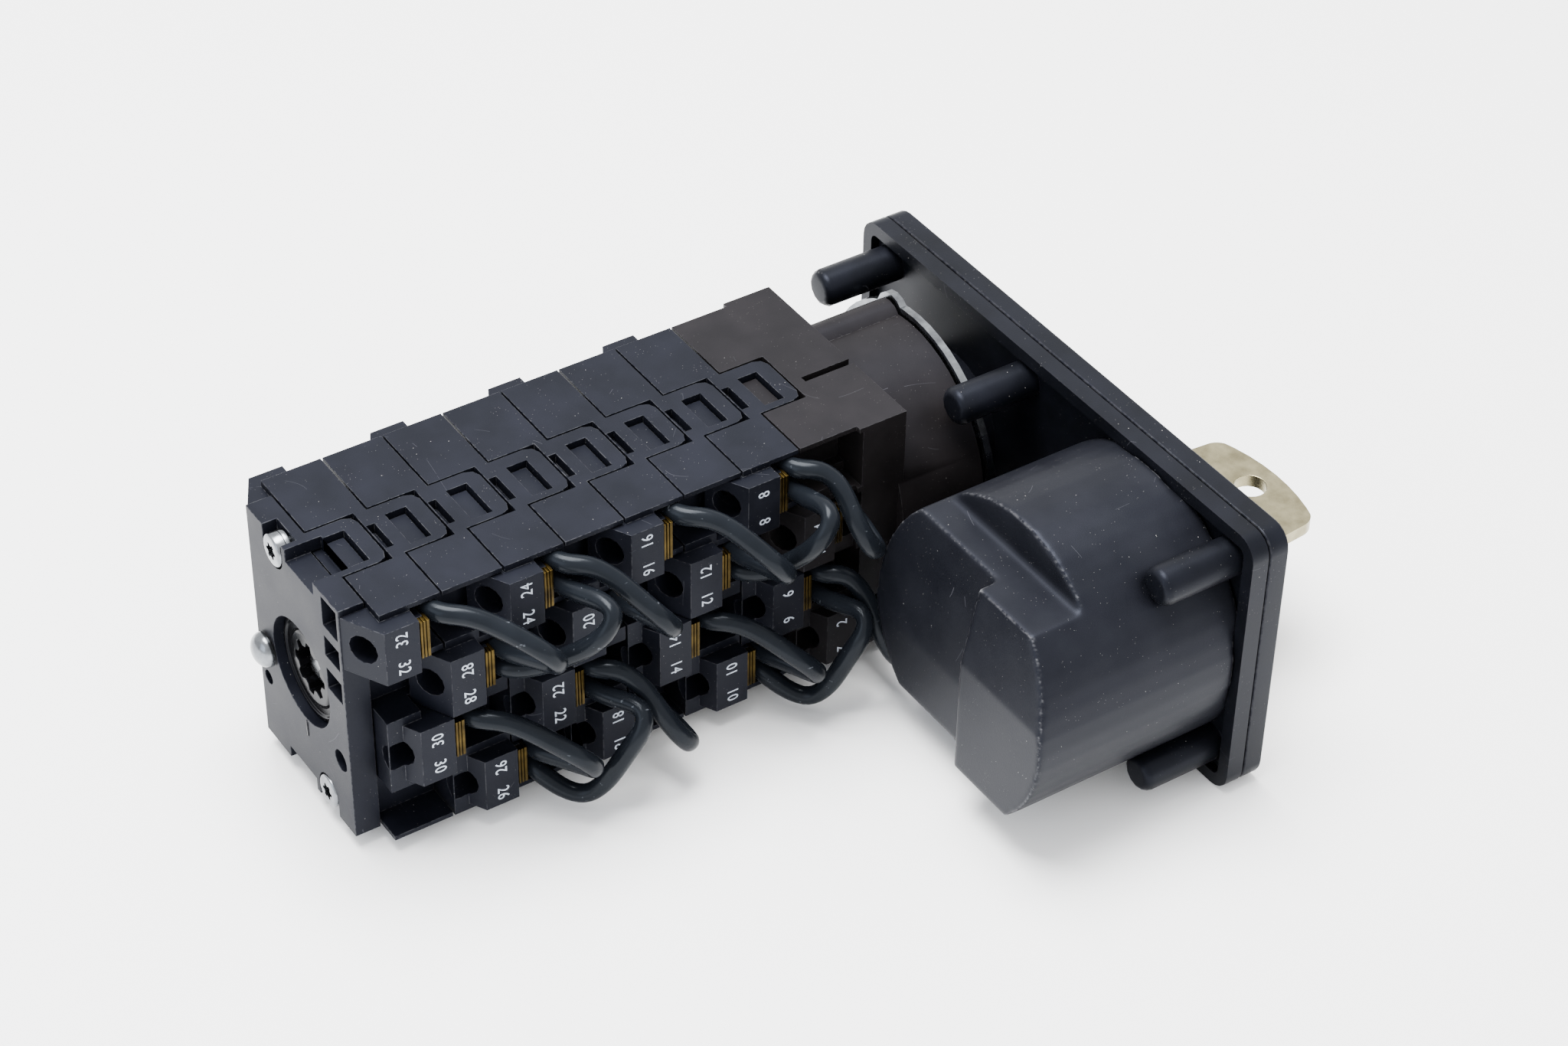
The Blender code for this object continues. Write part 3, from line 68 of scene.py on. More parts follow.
class Tone:
    """A value in a finish's nodes; sums and comparisons on it add the Math nodes."""

    def __init__(self, finish, socket):
        self.finish = finish
        self.socket = socket

    def _maths(self, operation, first, second):
        return self.finish.node("ShaderNodeMath", {"operation": operation}, [first, second])

    def __add__(self, other):
        return self._maths("ADD", self, other)

    def __mul__(self, other):
        return self._maths("MULTIPLY", self, other)

    def __gt__(self, other):
        return self._maths("GREATER_THAN", self, other)

    def __lt__(self, other):
        return self._maths("LESS_THAN", self, other)

    def spread(self, low, high):
        """The value stretched so that low becomes 0 and high becomes 1, and held there."""
        values = {"Value": self, "From Min": low, "From Max": high}
        return self.finish.node("ShaderNodeMapRange", {"clamp": True}, values)

    def out(self, name):
        """Another output of the same node."""
        return Tone(self.finish, self.socket.node.outputs[name])


class Finish:
    """One material of the switch and the nodes that shade it."""

    def __init__(self, name, roughness=0.5, metallic=0.0):
        self.material = bpy.data.materials.new(name)
        self.material.use_nodes = True
        self.tree = self.material.node_tree
        self.shader = self.tree.nodes["Principled BSDF"]
        self.shader.inputs["Roughness"].default_value = roughness
        self.shader.inputs["Metallic"].default_value = metallic
        self.place = self.node("ShaderNodeTexCoord").out("Object")

    def node(self, kind, settings=None, values=None):
        """A node of a kind with its settings and the values or links of its sockets."""
        made = self.tree.nodes.new(kind)
        for key, value in (settings or {}).items():
            setattr(made, key, value)
        pairs = values.items() if isinstance(values, dict) else enumerate(values or [])
        for key, value in pairs:
            if isinstance(value, Tone):
                self.tree.links.new(value.socket, made.inputs[key])
            else:
                made.inputs[key].default_value = value
        return Tone(self, made.outputs[0])

    def worn(self):
        """1 on the rounded edges and 0 elsewhere: where they are worn and where a pale highlight is painted
        on them.
        """
        made = self.node("ShaderNodeAttribute", {"attribute_name": "edge_wear"})
        return made.out("Fac")

    def noise(self, scale, detail, stretch=(1, 1, 1), roughness=0.5):
        """Noise with features of about 1 / scale metres, stretched along the axes."""
        where = self.node("ShaderNodeMapping", {}, {"Vector": self.place, "Scale": stretch})
        values = {"Vector": where, "Scale": scale, "Detail": detail, "Roughness": roughness}
        return self.node("ShaderNodeTexNoise", {}, values)

    def specks(self, scale, size):
        """Scattered specks: 1 inside a speck and 0 outside."""
        cells = self.node("ShaderNodeTexVoronoi", {}, {"Vector": self.place, "Scale": scale})
        return cells.out("Distance") < size

    def colour(self, factor, dark, pale):
        """A colour between two, by a factor."""
        ends = [end if isinstance(end, Tone) else (*end, 1.0) for end in (dark, pale)]
        made = self.node("ShaderNodeMix", {"data_type": "RGBA"}, {0: factor, 6: ends[0], 7: ends[1]})
        return Tone(self, made.socket.node.outputs[2])

    def feed(self, socket, value):
        """Link a value to the shader."""
        self.tree.links.new(value.socket, self.shader.inputs[socket])

    def relief(self, height, distance):
        """Bump from a height."""
        self.feed("Normal", self.node("ShaderNodeBump", {}, {"Height": height, "Distance": distance}))


# The pale colour of the rounded edges: partly rubbed wear, partly a painted highlight
RUBBED_EDGE_AND_HIGHLIGHT = (0.085, 0.085, 0.090)
HAIRLINE = (0.07, 0.07, 0.08)
DUST = (0.42, 0.41, 0.39)


def moulded(name, dark, pale, rough, grain_scale, grain, dust=0.25, worn=0.3):
    """Moulded plastic with a fine grain, uneven gloss, specks of dust, hairlines and pale rounded edges,
    partly rubbed wear and partly a painted highlight.
    """
    made = Finish(name)
    patch = made.noise(140, 3)
    fine = made.noise(grain_scale, 2)
    coarse = made.specks(700, 0.045) * (made.noise(260, 1) > 0.56)
    speck = coarse + made.specks(1900, 0.085) * (made.noise(300, 2) > 0.54) * 0.45
    curl = made.noise(60, 0)
    hair = (curl > 0.500) * (curl < 0.5016) * (made.noise(170, 1) > 0.60)
    tone = made.colour(patch.spread(0.35, 0.7), dark, pale)
    # Paler rounded edges: partly wear, partly a painted highlight along them
    rubbed_and_highlit = made.worn() * made.noise(1500, 3).spread(0.40, 0.60) * worn
    edged = made.colour(rubbed_and_highlit, tone, RUBBED_EDGE_AND_HIGHLIGHT)
    scratched = made.colour(hair * dust, edged, HAIRLINE)
    made.feed("Base Color", made.colour(speck * dust, scratched, DUST))
    made.feed("Roughness", patch * 0.14 + fine * 0.10 + (rough - 0.12))
    made.relief(fine, grain)
    return made


def metal(name, dark, pale, rough, lines=(1, 1, 1)):
    """Plated or bare metal with faint lines and uneven polish."""
    made = Finish(name, metallic=1.0)
    patch = made.noise(420, 3)
    line = made.noise(1800, 3, lines)
    made.feed("Base Color", made.colour(patch.spread(0.3, 0.75), dark, pale))
    made.feed("Roughness", patch * 0.18 + line * 0.12 + (rough - 0.13))
    made.relief(line, 0.000004)
    return made


FINISHES = {
    "plate_plastic": moulded(
        "satin_black_plate", (0.0020, 0.0022, 0.0030), (0.0036, 0.0039, 0.0058),
        rough=0.40, grain_scale=5200, grain=0.000010, dust=0.55, worn=0.10,
    ),
    "housing_plastic": moulded(
        "black_stage_plastic", (0.0025, 0.0028, 0.0046), (0.0046, 0.0050, 0.0078),
        rough=0.47, grain_scale=6000, grain=0.000006, dust=0.40,
    ),
    # The drum's rim and crests get the full pale edge colour: wear and a painted highlight
    "drum_plastic": moulded(
        "satin_black_drum", (0.0044, 0.0047, 0.0066), (0.0066, 0.0070, 0.0092),
        rough=0.40, grain_scale=5200, grain=0.000010, dust=0.5, worn=1.0,
    ),
    "latch_plastic": moulded(
        "brown_black_plastic", (0.0052, 0.0044, 0.0045), (0.0080, 0.0068, 0.0069),
        rough=0.46, grain_scale=6000, grain=0.000005,
    ),
    "hub_gloss": moulded(
        "gloss_black_hub", (0.0015, 0.0015, 0.0018), (0.0028, 0.0028, 0.0032),
        rough=0.16, grain_scale=2600, grain=0.000003,
    ),
    "moving_plastic": moulded(
        "grey_slider_plastic", (0.22, 0.22, 0.21), (0.30, 0.30, 0.28),
        rough=0.48, grain_scale=5000, grain=0.000006, dust=0.0,
    ),
}
for finish in FINISHES.values():
    finish.shader.inputs["Specular IOR Level"].default_value = 0.105
    finish.shader.inputs["Specular Tint"].default_value = (0.72, 0.78, 1.0, 1.0)
FINISHES["hub_gloss"].shader.inputs["Specular IOR Level"].default_value = 0.04
FINISHES["zinc_steel"] = metal("bright_zinc", (0.11, 0.115, 0.125), (0.25, 0.265, 0.28), 0.22)
FINISHES["nickel_brass"] = metal("nickel_brass", (0.22, 0.195, 0.115), (0.34, 0.305, 0.190), 0.26, (1, 14, 1))
# The terminal brass is made far darker than bare brass: painted shade for the clamps, which sit in shadow
FINISHES["terminal_brass"] = metal(
    "terminal_brass", (0.020, 0.013, 0.003), (0.075, 0.050, 0.013), 0.34, (1, 12, 1),
)


def wire_finish():
    """Black-grey insulation with a waxy gloss and pale rub marks."""
    made = Finish("wire_insulation")
    patch = made.noise(240, 3)
    rub = made.noise(900, 4, (1, 1, 1), 0.7)
    tone = made.colour(patch, (0.0030, 0.0038, 0.0052), (0.0070, 0.0085, 0.0112))
    scuff = made.noise(1300, 3, (1, 0.35, 1), 0.6).spread(0.66, 0.74) * (patch > 0.52)
    made.feed("Base Color", made.colour(scuff * 0.6, tone, (0.10, 0.11, 0.125)))
    made.feed("Roughness", patch * 0.10 + rub * 0.12 + 0.12)
    made.relief(made.noise(1500, 3), 0.000008)
    made.shader.inputs["Specular IOR Level"].default_value = 0.095
    made.shader.inputs["Specular Tint"].default_value = (0.86, 0.92, 1.0, 1.0)
    return made


FINISHES["wire_sheath"] = wire_finish()
PRINT = Finish("white_print", roughness=0.6)
THIN_PRINT = (0.20, 0.23, 0.28)
FULL_PRINT = (0.42, 0.46, 0.53)
PRINT.feed("Base Color", PRINT.colour(PRINT.noise(2500, 3).spread(0.3, 0.5), THIN_PRINT, FULL_PRINT))


def nothing_selected():
    """Deselect everything, so that the next operator acts on its own piece alone."""
    if bpy.context.object and bpy.context.object.mode != "OBJECT":
        bpy.ops.object.mode_set(mode="OBJECT")
    for item in bpy.context.selected_objects:
        item.select_set(False)


def choose(piece):
    """Make a piece the only selected one."""
    nothing_selected()
    piece.select_set(True)
    bpy.context.view_layer.objects.active = piece


def painted(piece, slot, finish=None):
    """Give a piece its finish."""
    piece.data.materials.clear()
    piece.data.materials.append((finish or FINISHES[slot]).material)
    return piece


def carried(piece, body=BODY):
    """Let a piece ride on a body."""
    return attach(piece, body)


def level_normals(piece, angle=34):
    """Shade the piece smooth over its rounded edges and leave its flats flat."""
    choose(piece)
    bpy.ops.object.shade_smooth_by_angle(angle=math.radians(angle))
    weighting = piece.modifiers.new("weighting", "WEIGHTED_NORMAL")
    weighting.mode = "FACE_AREA"
    weighting.weight = 100
    weighting.keep_sharp = True
    bpy.ops.object.modifier_apply(modifier=weighting.name)
    return piece


def ease_edges(piece, width, clamp=True):
    """Round the sharp edges of a small piece by a width in millimetres."""
    rounding = piece.modifiers.new("rounding", "BEVEL")
    rounding.width = width * MM
    rounding.segments = 2
    rounding.limit_method = "ANGLE"
    rounding.use_clamp_overlap = clamp
    choose(piece)
    bpy.ops.object.modifier_apply(modifier=rounding.name)


def soften(piece, width, segments=2):
    """Round the piece's edges by a width in metres, mark them for wear and a painted highlight and shade the
    piece.
    """
    choose(piece)
    rounding = piece.modifiers.new("rounding", "BEVEL")
    rounding.width = width
    rounding.segments = segments
    rounding.limit_method = "ANGLE"
    rounding.angle_limit = math.radians(38)
    piece.data.materials.clear()
    for finish in ("housing_plastic", "plate_plastic"):
        piece.data.materials.append(FINISHES[finish].material)
    for face in piece.data.polygons:
        face.material_index = 0
    rounding.material = 1
    bpy.ops.object.modifier_apply(modifier=rounding.name)
    # The rounded faces are flagged for wear and for a painted highlight
    wear = piece.data.attributes.new("edge_wear", "FLOAT", "FACE")
    for face in piece.data.polygons:
        wear.data[face.index].value = float(face.material_index)
        face.material_index = 0
    return level_normals(piece)


BODY_OF = {
    node: body for body, nodes in frame["record"]["behaviour"]["bodies"].items() for node in nodes
}
SLOT_OF = {entry["node"]: entry["material_slot"] for entry in frame["record"]["subparts"]}


def merged_copy(node, ending):
    """A copy of a CAD node with its doubled corners joined, left in edit mode with all of it selected."""
    piece = bpy.data.objects.new(node + ending, frame["nodes"][node].data.copy())
    bpy.context.scene.collection.objects.link(piece)
    choose(piece)
    bpy.ops.object.mode_set(mode="EDIT")
    bpy.ops.mesh.select_all(action="SELECT")
    bpy.ops.mesh.remove_doubles(threshold=0.000004)
    return piece


def dressed(node, edge, flatten=True):
    """A copy of a CAD node with its edges rounded, standing for the node."""
    piece = merged_copy(node, "_moulding")
    if flatten:
        bpy.ops.mesh.dissolve_limited(angle_limit=math.radians(0.8))
    bpy.ops.object.mode_set(mode="OBJECT")
    soften(piece, edge)
    painted(piece, SLOT_OF[node])
    carried(piece, BODY_OF[node])
    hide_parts(node)


CAMERA_PLACE = (-365.25, 277.82, 352.41)
CAMERA_RIGHT = Vector((-0.55077, -0.83454, 0.01427))
CAMERA_UP = Vector((0.53505, -0.33989, 0.77343))
CAMERA_BACK = Vector((-0.64061, 0.43361, 0.63372))


def camera():
    """The photograph's own viewpoint."""
    data = bpy.data.cameras.new("camera")
    data.lens = 83.86
    data.sensor_width = 36.0
    data.clip_start = 0.02
    data.clip_end = 20.0
    item = bpy.data.objects.new("camera", data)
    bpy.context.scene.collection.objects.link(item)
    turn = Matrix((CAMERA_RIGHT, CAMERA_UP, CAMERA_BACK)).transposed().to_4x4()
    item.matrix_world = Matrix.Translation(at(*CAMERA_PLACE)) @ turn
    bpy.context.scene.camera = item


def lamp(name, place, target, size, power, colour=(1, 1, 1)):
    """A soft box light aimed at a place."""
    data = bpy.data.lights.new(name, "AREA")
    data.shape = "RECTANGLE"
    data.size, data.size_y = size
    data.energy = power
    data.color = colour
    item = bpy.data.objects.new(name, data)
    bpy.context.scene.collection.objects.link(item)
    item.location = place
    item.rotation_euler = (Vector(target) - Vector(place)).to_track_quat("-Z", "Y").to_euler()


def studio():
    """A plain pale floor, soft light all round, a box light above and a weak cool one at the left."""
    nothing_selected()
    bpy.ops.mesh.primitive_plane_add(size=8.0, location=(0, 0, -0.0002))
    floor = bpy.context.object
    floor.name = "floor"
    pale = Finish("pale_floor", roughness=0.9)
    pale.shader.inputs["Base Color"].default_value = (0.92, 0.92, 0.92, 1.0)
    pale.shader.inputs["Specular IOR Level"].default_value = 0.0
    floor.data.materials.append(pale.material)
    world = bpy.data.worlds.new("studio_air")
    world.use_nodes = True
    sky = world.node_tree.nodes["Background"]
    sky.inputs["Color"].default_value = (1.0, 1.0, 1.0, 1.0)
    sky.inputs["Strength"].default_value = 2.1
    bpy.context.scene.world = world
    middle = at(-15, 50, 0)
    lamp("top_box", middle + Vector((0.10, 0.05, 0.75)), middle, (0.55, 0.42), 26.0)
    lamp("left_box", middle + Vector((-0.15, 0.75, 0.35)), middle, (0.5, 0.5), 2.2, (0.70, 0.82, 1.0))


# Sizes of the stack in millimetres, as its solids have them
STACK_FRONT = 40.3
STAGE_PITCH = 10.0
HALF_HEIGHT = 21.6
ROW_HEIGHT = 10.8
BLOCK_REACH = 20.5
BLOCK_FACE = 5.5
FRONT_IN_STAGE = {0: 4.9, 1: 4.9, 2: 0.3, 3: 0.3}
LID_SHIFT = {0: -0.475, 1: 0.0, 2: 0.0, 3: 0.475}
CLAMP_REACH = 19.4
CLAMP_DEPTH = 2.1
CLAMP_HALF = 3.3
CLAMP_ROOT = 12.6
CLAMP_LINES = (-1.66, -1.16, -0.66)
CLAMP_LINE_WIDTH = 0.14
END_BACK = 114.4
TIE_PLACES = {"upper": (6.0, 18.7), "lower": (-6.0, -18.7)}
PRINT_SIZE = 2.75
PRINT_WIDTH = 0.86
PRINT_OFFSET = 2.55
PRINT_PROUD = 0.012
# The key's bow: half the arc its arch is drawn on, how much of it the sides cut off, their lean, all
# in degrees, and the radius of its corners in millimetres
KEY_ARCH = 24
KEY_ARCH_LOST = 3
KEY_LEAN = 5
KEY_CORNER = 3.2


def block_places():
    """Level, row, front and middle height of each terminal block on one side of the stack."""
    for level in range(1, 9):
        for row in ((0, 2), (1, 3))[level % 2]:
            front = STACK_FRONT + (level - 2) * STAGE_PITCH + FRONT_IN_STAGE[row]
            yield level, row, front, HALF_HEIGHT - (row + 0.5) * ROW_HEIGHT + LID_SHIFT[row]


def blank(name, low, high):
    """A rectangular blank between two corners in the switch's millimetres."""
    nothing_selected()
    near, far = at(*low), at(*high)
    bpy.ops.mesh.primitive_cube_add(size=1.0, location=(near + far) / 2, scale=far - near)
    piece = bpy.context.object
    piece.name = name
    bpy.ops.object.transform_apply(location=True, rotation=True, scale=True)
    return piece


def turned(name, radius, near, far, x, z, sides=48):
    """A round blank along the stack, from one station to another."""
    nothing_selected()
    bpy.ops.mesh.primitive_cylinder_add(
        vertices=sides, radius=radius * MM, depth=(far - near) * MM,
        location=at(x, (near + far) / 2, z), rotation=(math.radians(-90), 0, 0),
    )
    piece = bpy.context.object
    piece.name = name
    bpy.ops.object.transform_apply(location=True, rotation=True, scale=True)
    return piece


def pick(piece, kind, test):
    """In edit mode, select the faces, edges or vertices that pass a test."""
    bpy.ops.mesh.select_mode(type=kind)
    bpy.ops.mesh.select_all(action="DESELECT")
    shape = bmesh.from_edit_mesh(piece.data)
    items = {"FACE": shape.faces, "EDGE": shape.edges, "VERT": shape.verts}[kind]
    for item in items:
        if test(item):
            item.select_set(True)
    shape.select_flush_mode()
    bmesh.update_edit_mesh(piece.data)


def stepped_end(piece, steps, back=True):
    """Shape the round blank's end in rings: how far in each ring goes and how far it rises."""
    choose(piece)
    bpy.ops.object.mode_set(mode="EDIT")
    facing = 1 if back else -1
    pick(piece, "FACE", lambda face: face.normal.y * facing > 0.9)
    for width, rise in steps:
        bpy.ops.mesh.inset(thickness=width * MM, depth=rise * MM)
    bpy.ops.object.mode_set(mode="OBJECT")


def cut_with(piece, tool):
    """Cut a tool's shape out of the piece."""
    choose(piece)
    cutting = piece.modifiers.new("cutting", "BOOLEAN")
    cutting.operation = "DIFFERENCE"
    cutting.solver = "EXACT"
    cutting.object = tool
    bpy.ops.object.modifier_apply(modifier=cutting.name)
    bpy.data.objects.remove(tool)
    return piece


def lobed_tool(lobes, outer, inner, near, far, x, z):
    """A prism with lobes between an outer and an inner radius, for a driver's recess."""
    tool = turned("lobed_tool", outer, near, far, x, z, lobes * 6)
    centre = at(x, 0, z)
    bpy.ops.object.mode_set(mode="EDIT")
    pick(tool, "VERT", lambda vertex: math.cos(
        lobes * math.atan2(vertex.co.z - centre.z, vertex.co.x - centre.x)) < -0.3)
    share = inner / outer
    bpy.ops.transform.resize(value=(share, 1, share), center_override=at(x, (near + far) / 2, z))
    bpy.ops.object.mode_set(mode="OBJECT")
    return tool


def copied(piece, name, offset, mirrored=False):
    """A copy of a piece with its own mesh, moved or mirrored to the other side of the stack."""
    mesh = piece.data.copy()
    mesh.transform(Matrix.Translation(Vector(offset) * MM))
    if mirrored:
        middle = Matrix.Translation(ORIGIN)
        mesh.transform(middle @ Matrix.Scale(-1, 4, (1, 0, 0)) @ middle.inverted())
        mesh.flip_normals()
    twin = bpy.data.objects.new(name, mesh)
    bpy.context.scene.collection.objects.link(twin)
    return twin


def clamp_pattern():
    """One brass clamp: plates side by side, with dark lines between them."""
    proud = 0.03
    low = (-CLAMP_REACH - 2 * proud, -CLAMP_DEPTH - proud, -CLAMP_HALF - proud)
    piece = blank("clamp_pattern", low, (-CLAMP_ROOT, 0.02, CLAMP_HALF + proud))
    bpy.ops.object.mode_set(mode="EDIT")
    grooves = [(start, start + CLAMP_LINE_WIDTH) for start in CLAMP_LINES]
    for groove in grooves:
        for y in groove:
            bpy.ops.mesh.select_all(action="SELECT")
            bpy.ops.mesh.bisect(plane_co=at(0, y, 0), plane_no=(0, 1, 0))
    pick(piece, "FACE", lambda face: abs(face.normal.y) < 0.5 and any(
        at(0, low, 0).y < face.calc_center_median().y < at(0, high, 0).y for low, high in grooves))
    bpy.ops.mesh.extrude_region_shrink_fatten(TRANSFORM_OT_shrink_fatten={"value": -0.30 * MM})
    bpy.ops.object.mode_set(mode="OBJECT")
    ease_edges(piece, 0.10)
    return level_normals(piece)


def clamps():
    """A brass clamp in front of every terminal block, on both sides."""
    pattern = clamp_pattern()
    for level, row, front, height in block_places():
        for side in ("near", "far"):
            name = "terminal_clamp_%d_%s_%s" % (level, "abcd"[row], side)
            twin = copied(pattern, name, (0, front, height), side == "far")
            # The darkened brass paints the shade the clamps sit in
            carried(painted(twin, "nickel_brass", FINISHES["terminal_brass"]))
    bpy.data.objects.remove(pattern)


def number(text, place, along, up):
    """A printed number: its middle, its reading direction and the direction its figures stand in."""
    nothing_selected()
    bpy.ops.object.text_add(location=(0, 0, 0))
    item = bpy.context.object
    item.data.body = text
    item.data.size = PRINT_SIZE * MM
    item.data.space_character = 1.08
    item.data.align_x = "CENTER"
    item.data.align_y = "CENTER"
    item.data.resolution_u = 3
    item.data.offset = PRINT_PROUD * MM
    bpy.ops.object.convert(target="MESH")
    turn = Matrix((along, up, along.cross(up))).transposed().to_4x4()
    narrow = Matrix.Diagonal((PRINT_WIDTH, 1, 1, 1))
    item.data.transform(Matrix.Translation(place) @ turn @ narrow)
    return item


def numbers():
    """Two numbers on every terminal block, one for a reader on either side."""
    y = Vector((0, 1, 0))
    z = Vector((0, 0, 1))
    for level, row, front, height in block_places():
        shown = 4 * level - (0 if row < 2 else 2)
        for side, text in ((-1, str(shown)), (1, str(shown - 1))):
            middle = front + BLOCK_FACE / 2
            face = side * (BLOCK_REACH + PRINT_PROUD)
            pair = [
                number(text, at(face, middle, height + PRINT_OFFSET), z, y * -side),
                number(text, at(face, middle, height - PRINT_OFFSET), -z, y * side),
            ]
            nothing_selected()
            for item in pair:
                item.select_set(True)
            bpy.context.view_layer.objects.active = pair[0]
            bpy.ops.object.join()
            mark = bpy.context.object
            mark.name = "number_%s_%s" % (text, "near" if side < 0 else "far")
            carried(painted(mark, "moving_plastic", PRINT))


def tie_screw(name, x, z):
    """A pan-head screw with a six-lobed recess on its long shank."""
    node = "tie_screw_" + name
    low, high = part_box(node)
    top = (high.y - ORIGIN.y) / MM
    shank = (low.y - ORIGIN.y) / MM
    under = top - 1.6
    head = turned("tie_screw_head_" + name, 2.6, under, top - 0.30, x, z)
    stepped_end(head, ((0.12, 0.16), (0.22, 0.10), (0.4, 0.04)))
    stepped_end(head, ((1.1, 0.0), (0.02, under - shank - 0.3), (0.25, 0.3)), back=False)
    cut_with(head, lobed_tool(6, 1.35, 0.98, top - 1.15, top + 1, x, z))
    level_normals(head, 40)
    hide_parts(node)
    carried(painted(head, "zinc_steel"))


def spring_washer(name, x, z):
    """A split spring washer that stands a little open under the head."""
    node = "spring_washer_" + name
    top = (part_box(node)[1].y - ORIGIN.y) / MM + 0.2
    ring = turned("split_washer_" + name, 2.6, top - 0.75, top, x, z, 40)
    cut_with(ring, turned("washer_bore", 1.7, top - 2, top + 1, x, z, 32))
    cut_with(ring, blank("washer_split", (x - 2.9, top - 2, z - 0.15), (x - 1.2, top + 1, z + 0.25)))
    ease_edges(ring, 0.12)
    level_normals(ring)
    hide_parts(node)
    carried(painted(ring, "zinc_steel"))


DOME_RADIUS = 2.8
DOME_FLATNESS = 0.72
DOME_PLACE = (10.8, -3.3)
DOME_RINGS = (0, 6, 14, 24, 35, 46, 57, 68, 78, 86)


def dome_screw():
    """The domed screw beside the hub, on a thin flange."""
    piece = turned("side_screw_dome", DOME_RADIUS, END_BACK + 0.3, END_BACK + 0.55, *DOME_PLACE, 56)
    angles = [math.radians(ring) for ring in DOME_RINGS]
    steps = []
    for low, high in zip(angles, angles[1:]):
        inward = DOME_RADIUS * (math.cos(low) - math.cos(high))
        steps.append((inward, DOME_FLATNESS * DOME_RADIUS * (math.sin(high) - math.sin(low))))
    stepped_end(piece, steps)
    level_normals(piece, 60)
    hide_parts("side_screw")
    carried(painted(piece, "zinc_steel"))


def rear_hub():
    """The glossy hub: a rim, a sunk ring and a raised ring round its toothed hole."""
    low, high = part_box("rear_hub")
    near = (low.y - ORIGIN.y) / MM
    far = (high.y - ORIGIN.y) / MM
    piece = turned("hub_disc", 8.38, near, far - 0.35, 0, 0, 72)
    stepped_end(piece, ((0.15, 0.12), (0.55, 0.06), (0.25, -0.30), (1.15, -0.12), (0.35, 0.34), (0.5, 0.10)))
    cut_with(piece, lobed_tool(8, 4.55, 3.55, near - 1, far + 2, 0, 0))
    ease_edges(piece, 0.14, clamp=False)
    level_normals(piece, 40)
    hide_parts("rear_hub")
    painted(piece, SLOT_OF["rear_hub"], FINISHES["hub_gloss"])
    carried(piece, BODY_OF["rear_hub"])


WIRE_SWELL = 0.26


def smooth_wire(node):
    """A jumper wire's solid made round and smooth; it is swollen first, because smoothing thins it."""
    piece = merged_copy(node, "_sheath")
    bend = math.radians(60)
    bpy.ops.mesh.tris_convert_to_quads(face_threshold=bend, shape_threshold=bend)
    bpy.ops.transform.shrink_fatten(value=WIRE_SWELL * MM)
    bpy.ops.object.mode_set(mode="OBJECT")
    rounding = piece.modifiers.new("rounding", "SUBSURF")
    rounding.levels = 2
    rounding.render_levels = 2
    bpy.ops.object.modifier_apply(modifier=rounding.name)
    bpy.ops.object.shade_smooth()
    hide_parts(node)
    painted(piece, SLOT_OF[node])
    carried(piece, BODY_OF[node])


def moulded_drum():
    """The drum of the lock with soft moulded edges, all in one skin."""
    piece = merged_copy("lock_housing", "_moulding")
    bpy.ops.object.mode_set(mode="OBJECT")
    skin = piece.modifiers.new("skin", "REMESH")
    skin.mode = "VOXEL"
    skin.voxel_size = 0.45 * MM
    bpy.ops.object.modifier_apply(modifier=skin.name)
    easing = piece.modifiers.new("easing", "SMOOTH")
    easing.factor = 0.6
    easing.iterations = 7
    bpy.ops.object.modifier_apply(modifier=easing.name)
    mark_crests(piece, 0.10, 0.22)
    bpy.ops.object.shade_smooth()
    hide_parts("lock_housing")
    painted(piece, SLOT_OF["lock_housing"], FINISHES["drum_plastic"])
    carried(piece, BODY_OF["lock_housing"])


def mark_crests(piece, low, high):
    """Mark the points that rise above their neighbours, from slope low up to slope high, for wear and a
    painted highlight.
    """
    shape = bmesh.new()
    shape.from_mesh(piece.data)
    heights = []
    for vertex in shape.verts:
        rises = [
            vertex.normal.dot(vertex.co - edge.other_vert(vertex).co) / max(edge.calc_length(), 1e-9)
            for edge in vertex.link_edges
        ]
        rise = sum(rises) / max(len(rises), 1)
        heights.append(min(max((rise - low) / (high - low), 0.0), 1.0))
    shape.free()
    # The crests are flagged for wear and for a painted highlight
    wear = piece.data.attributes.new("edge_wear", "FLOAT", "POINT")
    wear.data.foreach_set("value", heights)


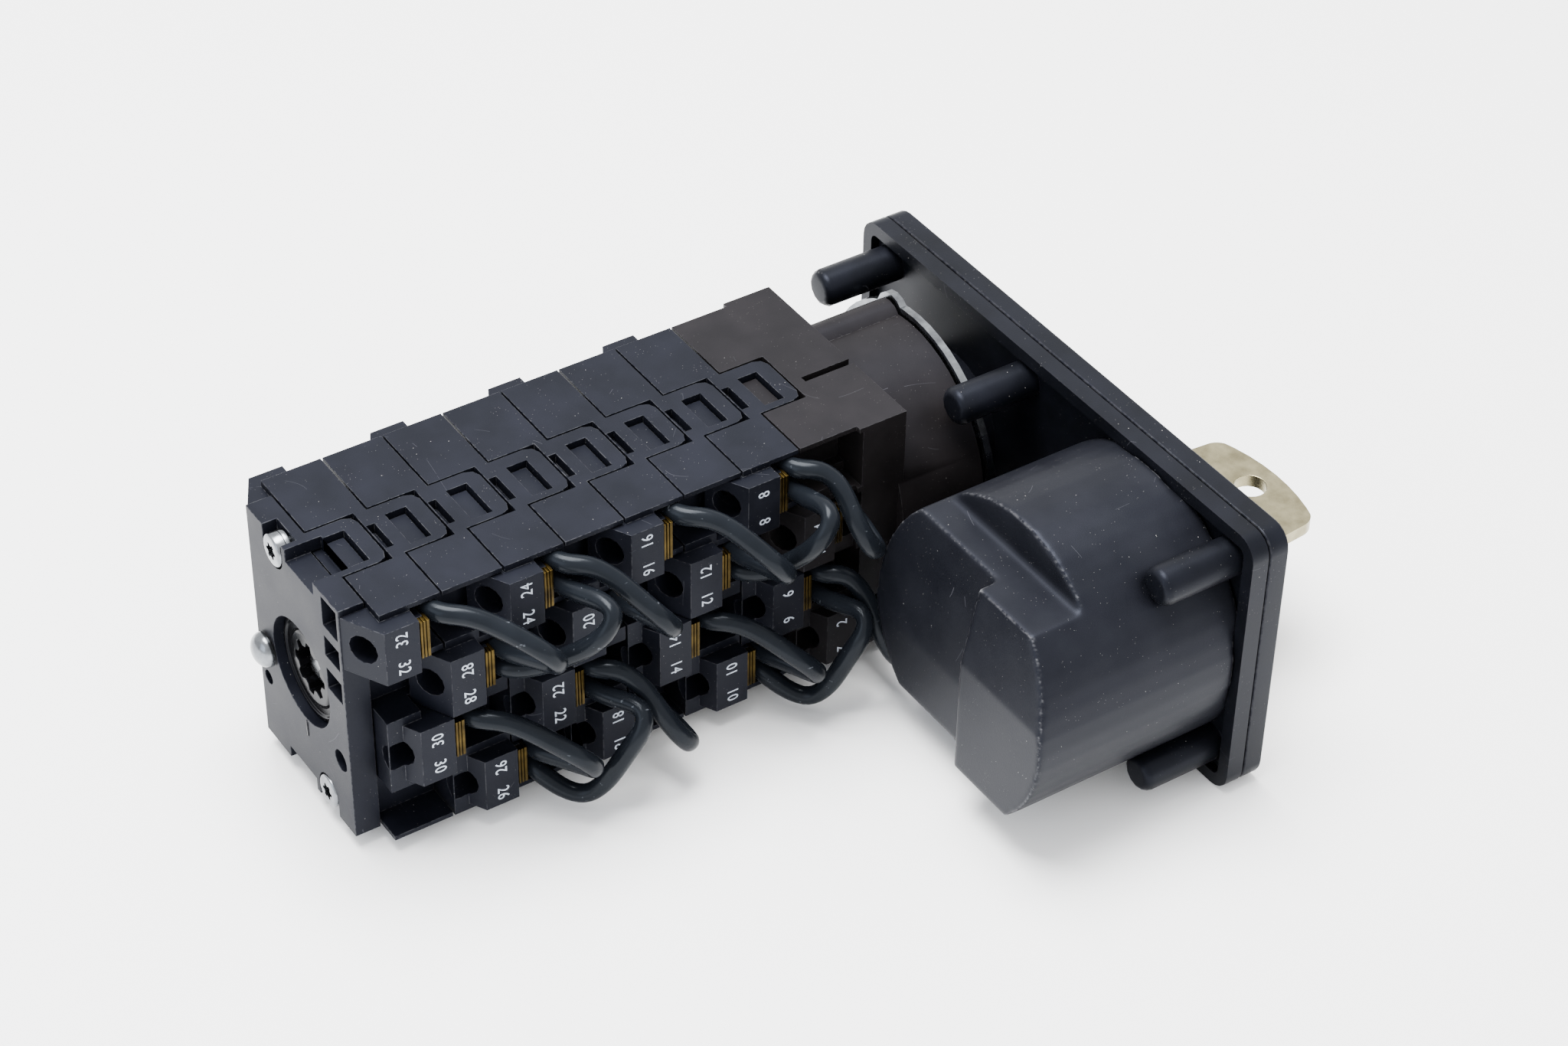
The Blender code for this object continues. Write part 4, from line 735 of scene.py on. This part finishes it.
def key_corner(low, high, side):
    """The tool that rounds the key's bow where its arch meets one side."""
    sweep = math.radians(KEY_ARCH)
    arch_radius = (high.x - low.x) / 2 / math.sin(sweep)
    reach = sweep - math.radians(KEY_ARCH_LOST)
    corner = Vector((
        (low.x + high.x) / 2 + side * arch_radius * math.sin(reach),
        low.y + arch_radius * (1 - math.cos(reach)), high.z,
    ))
    lean = math.radians(KEY_LEAN)
    along_side = Vector((side * math.sin(lean), math.cos(lean), 0))
    along_arch = Vector((-side * math.cos(reach), -math.sin(reach), 0))
    radius = KEY_CORNER * MM
    half = along_side.angle(along_arch) / 2
    centre = corner + (along_side + along_arch).normalized() * radius / math.sin(half)
    touch = radius / math.tan(half)
    near = Vector(((corner + along_arch * touch).x, low.y - MM, low.z - MM))
    far = Vector((corner.x + side * 2 * MM, (corner + along_side * touch).y, high.z + MM))
    nothing_selected()
    size = [abs(part) for part in far - near]
    bpy.ops.mesh.primitive_cube_add(size=1.0, location=(near + far) / 2, scale=size)
    tool = bpy.context.object
    nothing_selected()
    bpy.ops.mesh.primitive_cylinder_add(vertices=64, radius=radius, depth=0.02, location=centre)
    return cut_with(tool, bpy.context.object)


def index_line():
    """The pointer moulded below the hub on the end plate, as a thin strip in the darker gloss finish: painted
    shade standing in for its engraved groove.
    """
    line = blank("index_line", (-0.75, END_BACK - 0.3, -12.0), (-0.25, END_BACK + 0.14, -9.0))
    soften(line, 0.00012)
    # The darker gloss paints the shade of the engraved line
    carried(painted(line, "hub_gloss"))


def rounded_key():
    """The key with the corners of its bow and all its edges rounded."""
    low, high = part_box("key")
    piece = merged_copy("key", "_moulding")
    bpy.ops.object.mode_set(mode="OBJECT")
    for side in (-1, 1):
        cut_with(piece, key_corner(low, high, side))
    bpy.ops.object.mode_set(mode="EDIT")
    bpy.ops.mesh.select_all(action="SELECT")
    bpy.ops.mesh.remove_doubles(threshold=0.00002)
    bpy.ops.mesh.dissolve_limited(angle_limit=math.radians(0.8))
    bpy.ops.mesh.select_all(action="SELECT")
    bpy.ops.mesh.normals_make_consistent(inside=False)
    bpy.ops.object.mode_set(mode="OBJECT")
    soften(piece, 0.0004, 3)
    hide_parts("key")
    painted(piece, SLOT_OF["key"])
    carried(piece, BODY_OF["key"])


camera()
studio()

# How far the edges of each moulded piece are rounded, in metres
PLATE_EDGE = 0.0003
HOUSING_EDGE = 0.00018
EDGES = {
    "front_cover": PLATE_EDGE, "back_plate": PLATE_EDGE,
    "latch_housing": HOUSING_EDGE, "end_plate": HOUSING_EDGE,
}
OWN_SHAPES = ("rear_hub", "side_screw", "lock_housing", "key")
for node in sorted(frame["nodes"]):
    if node.startswith("jumper"):
        smooth_wire(node)
    elif node in EDGES or node.startswith("stage"):
        dressed(node, EDGES.get(node, HOUSING_EDGE), flatten=node != "end_plate")
    elif node not in OWN_SHAPES:
        piece = frame["nodes"][node]
        piece.data.materials.clear()
        piece.data.materials.append(FINISHES[SLOT_OF[node]].material)
clamps()
numbers()
for name, (x, z) in TIE_PLACES.items():
    tie_screw(name, x, z)
    spring_washer(name, x, z)
index_line()
dome_screw()
rear_hub()
moulded_drum()
rounded_key()

nothing_selected()
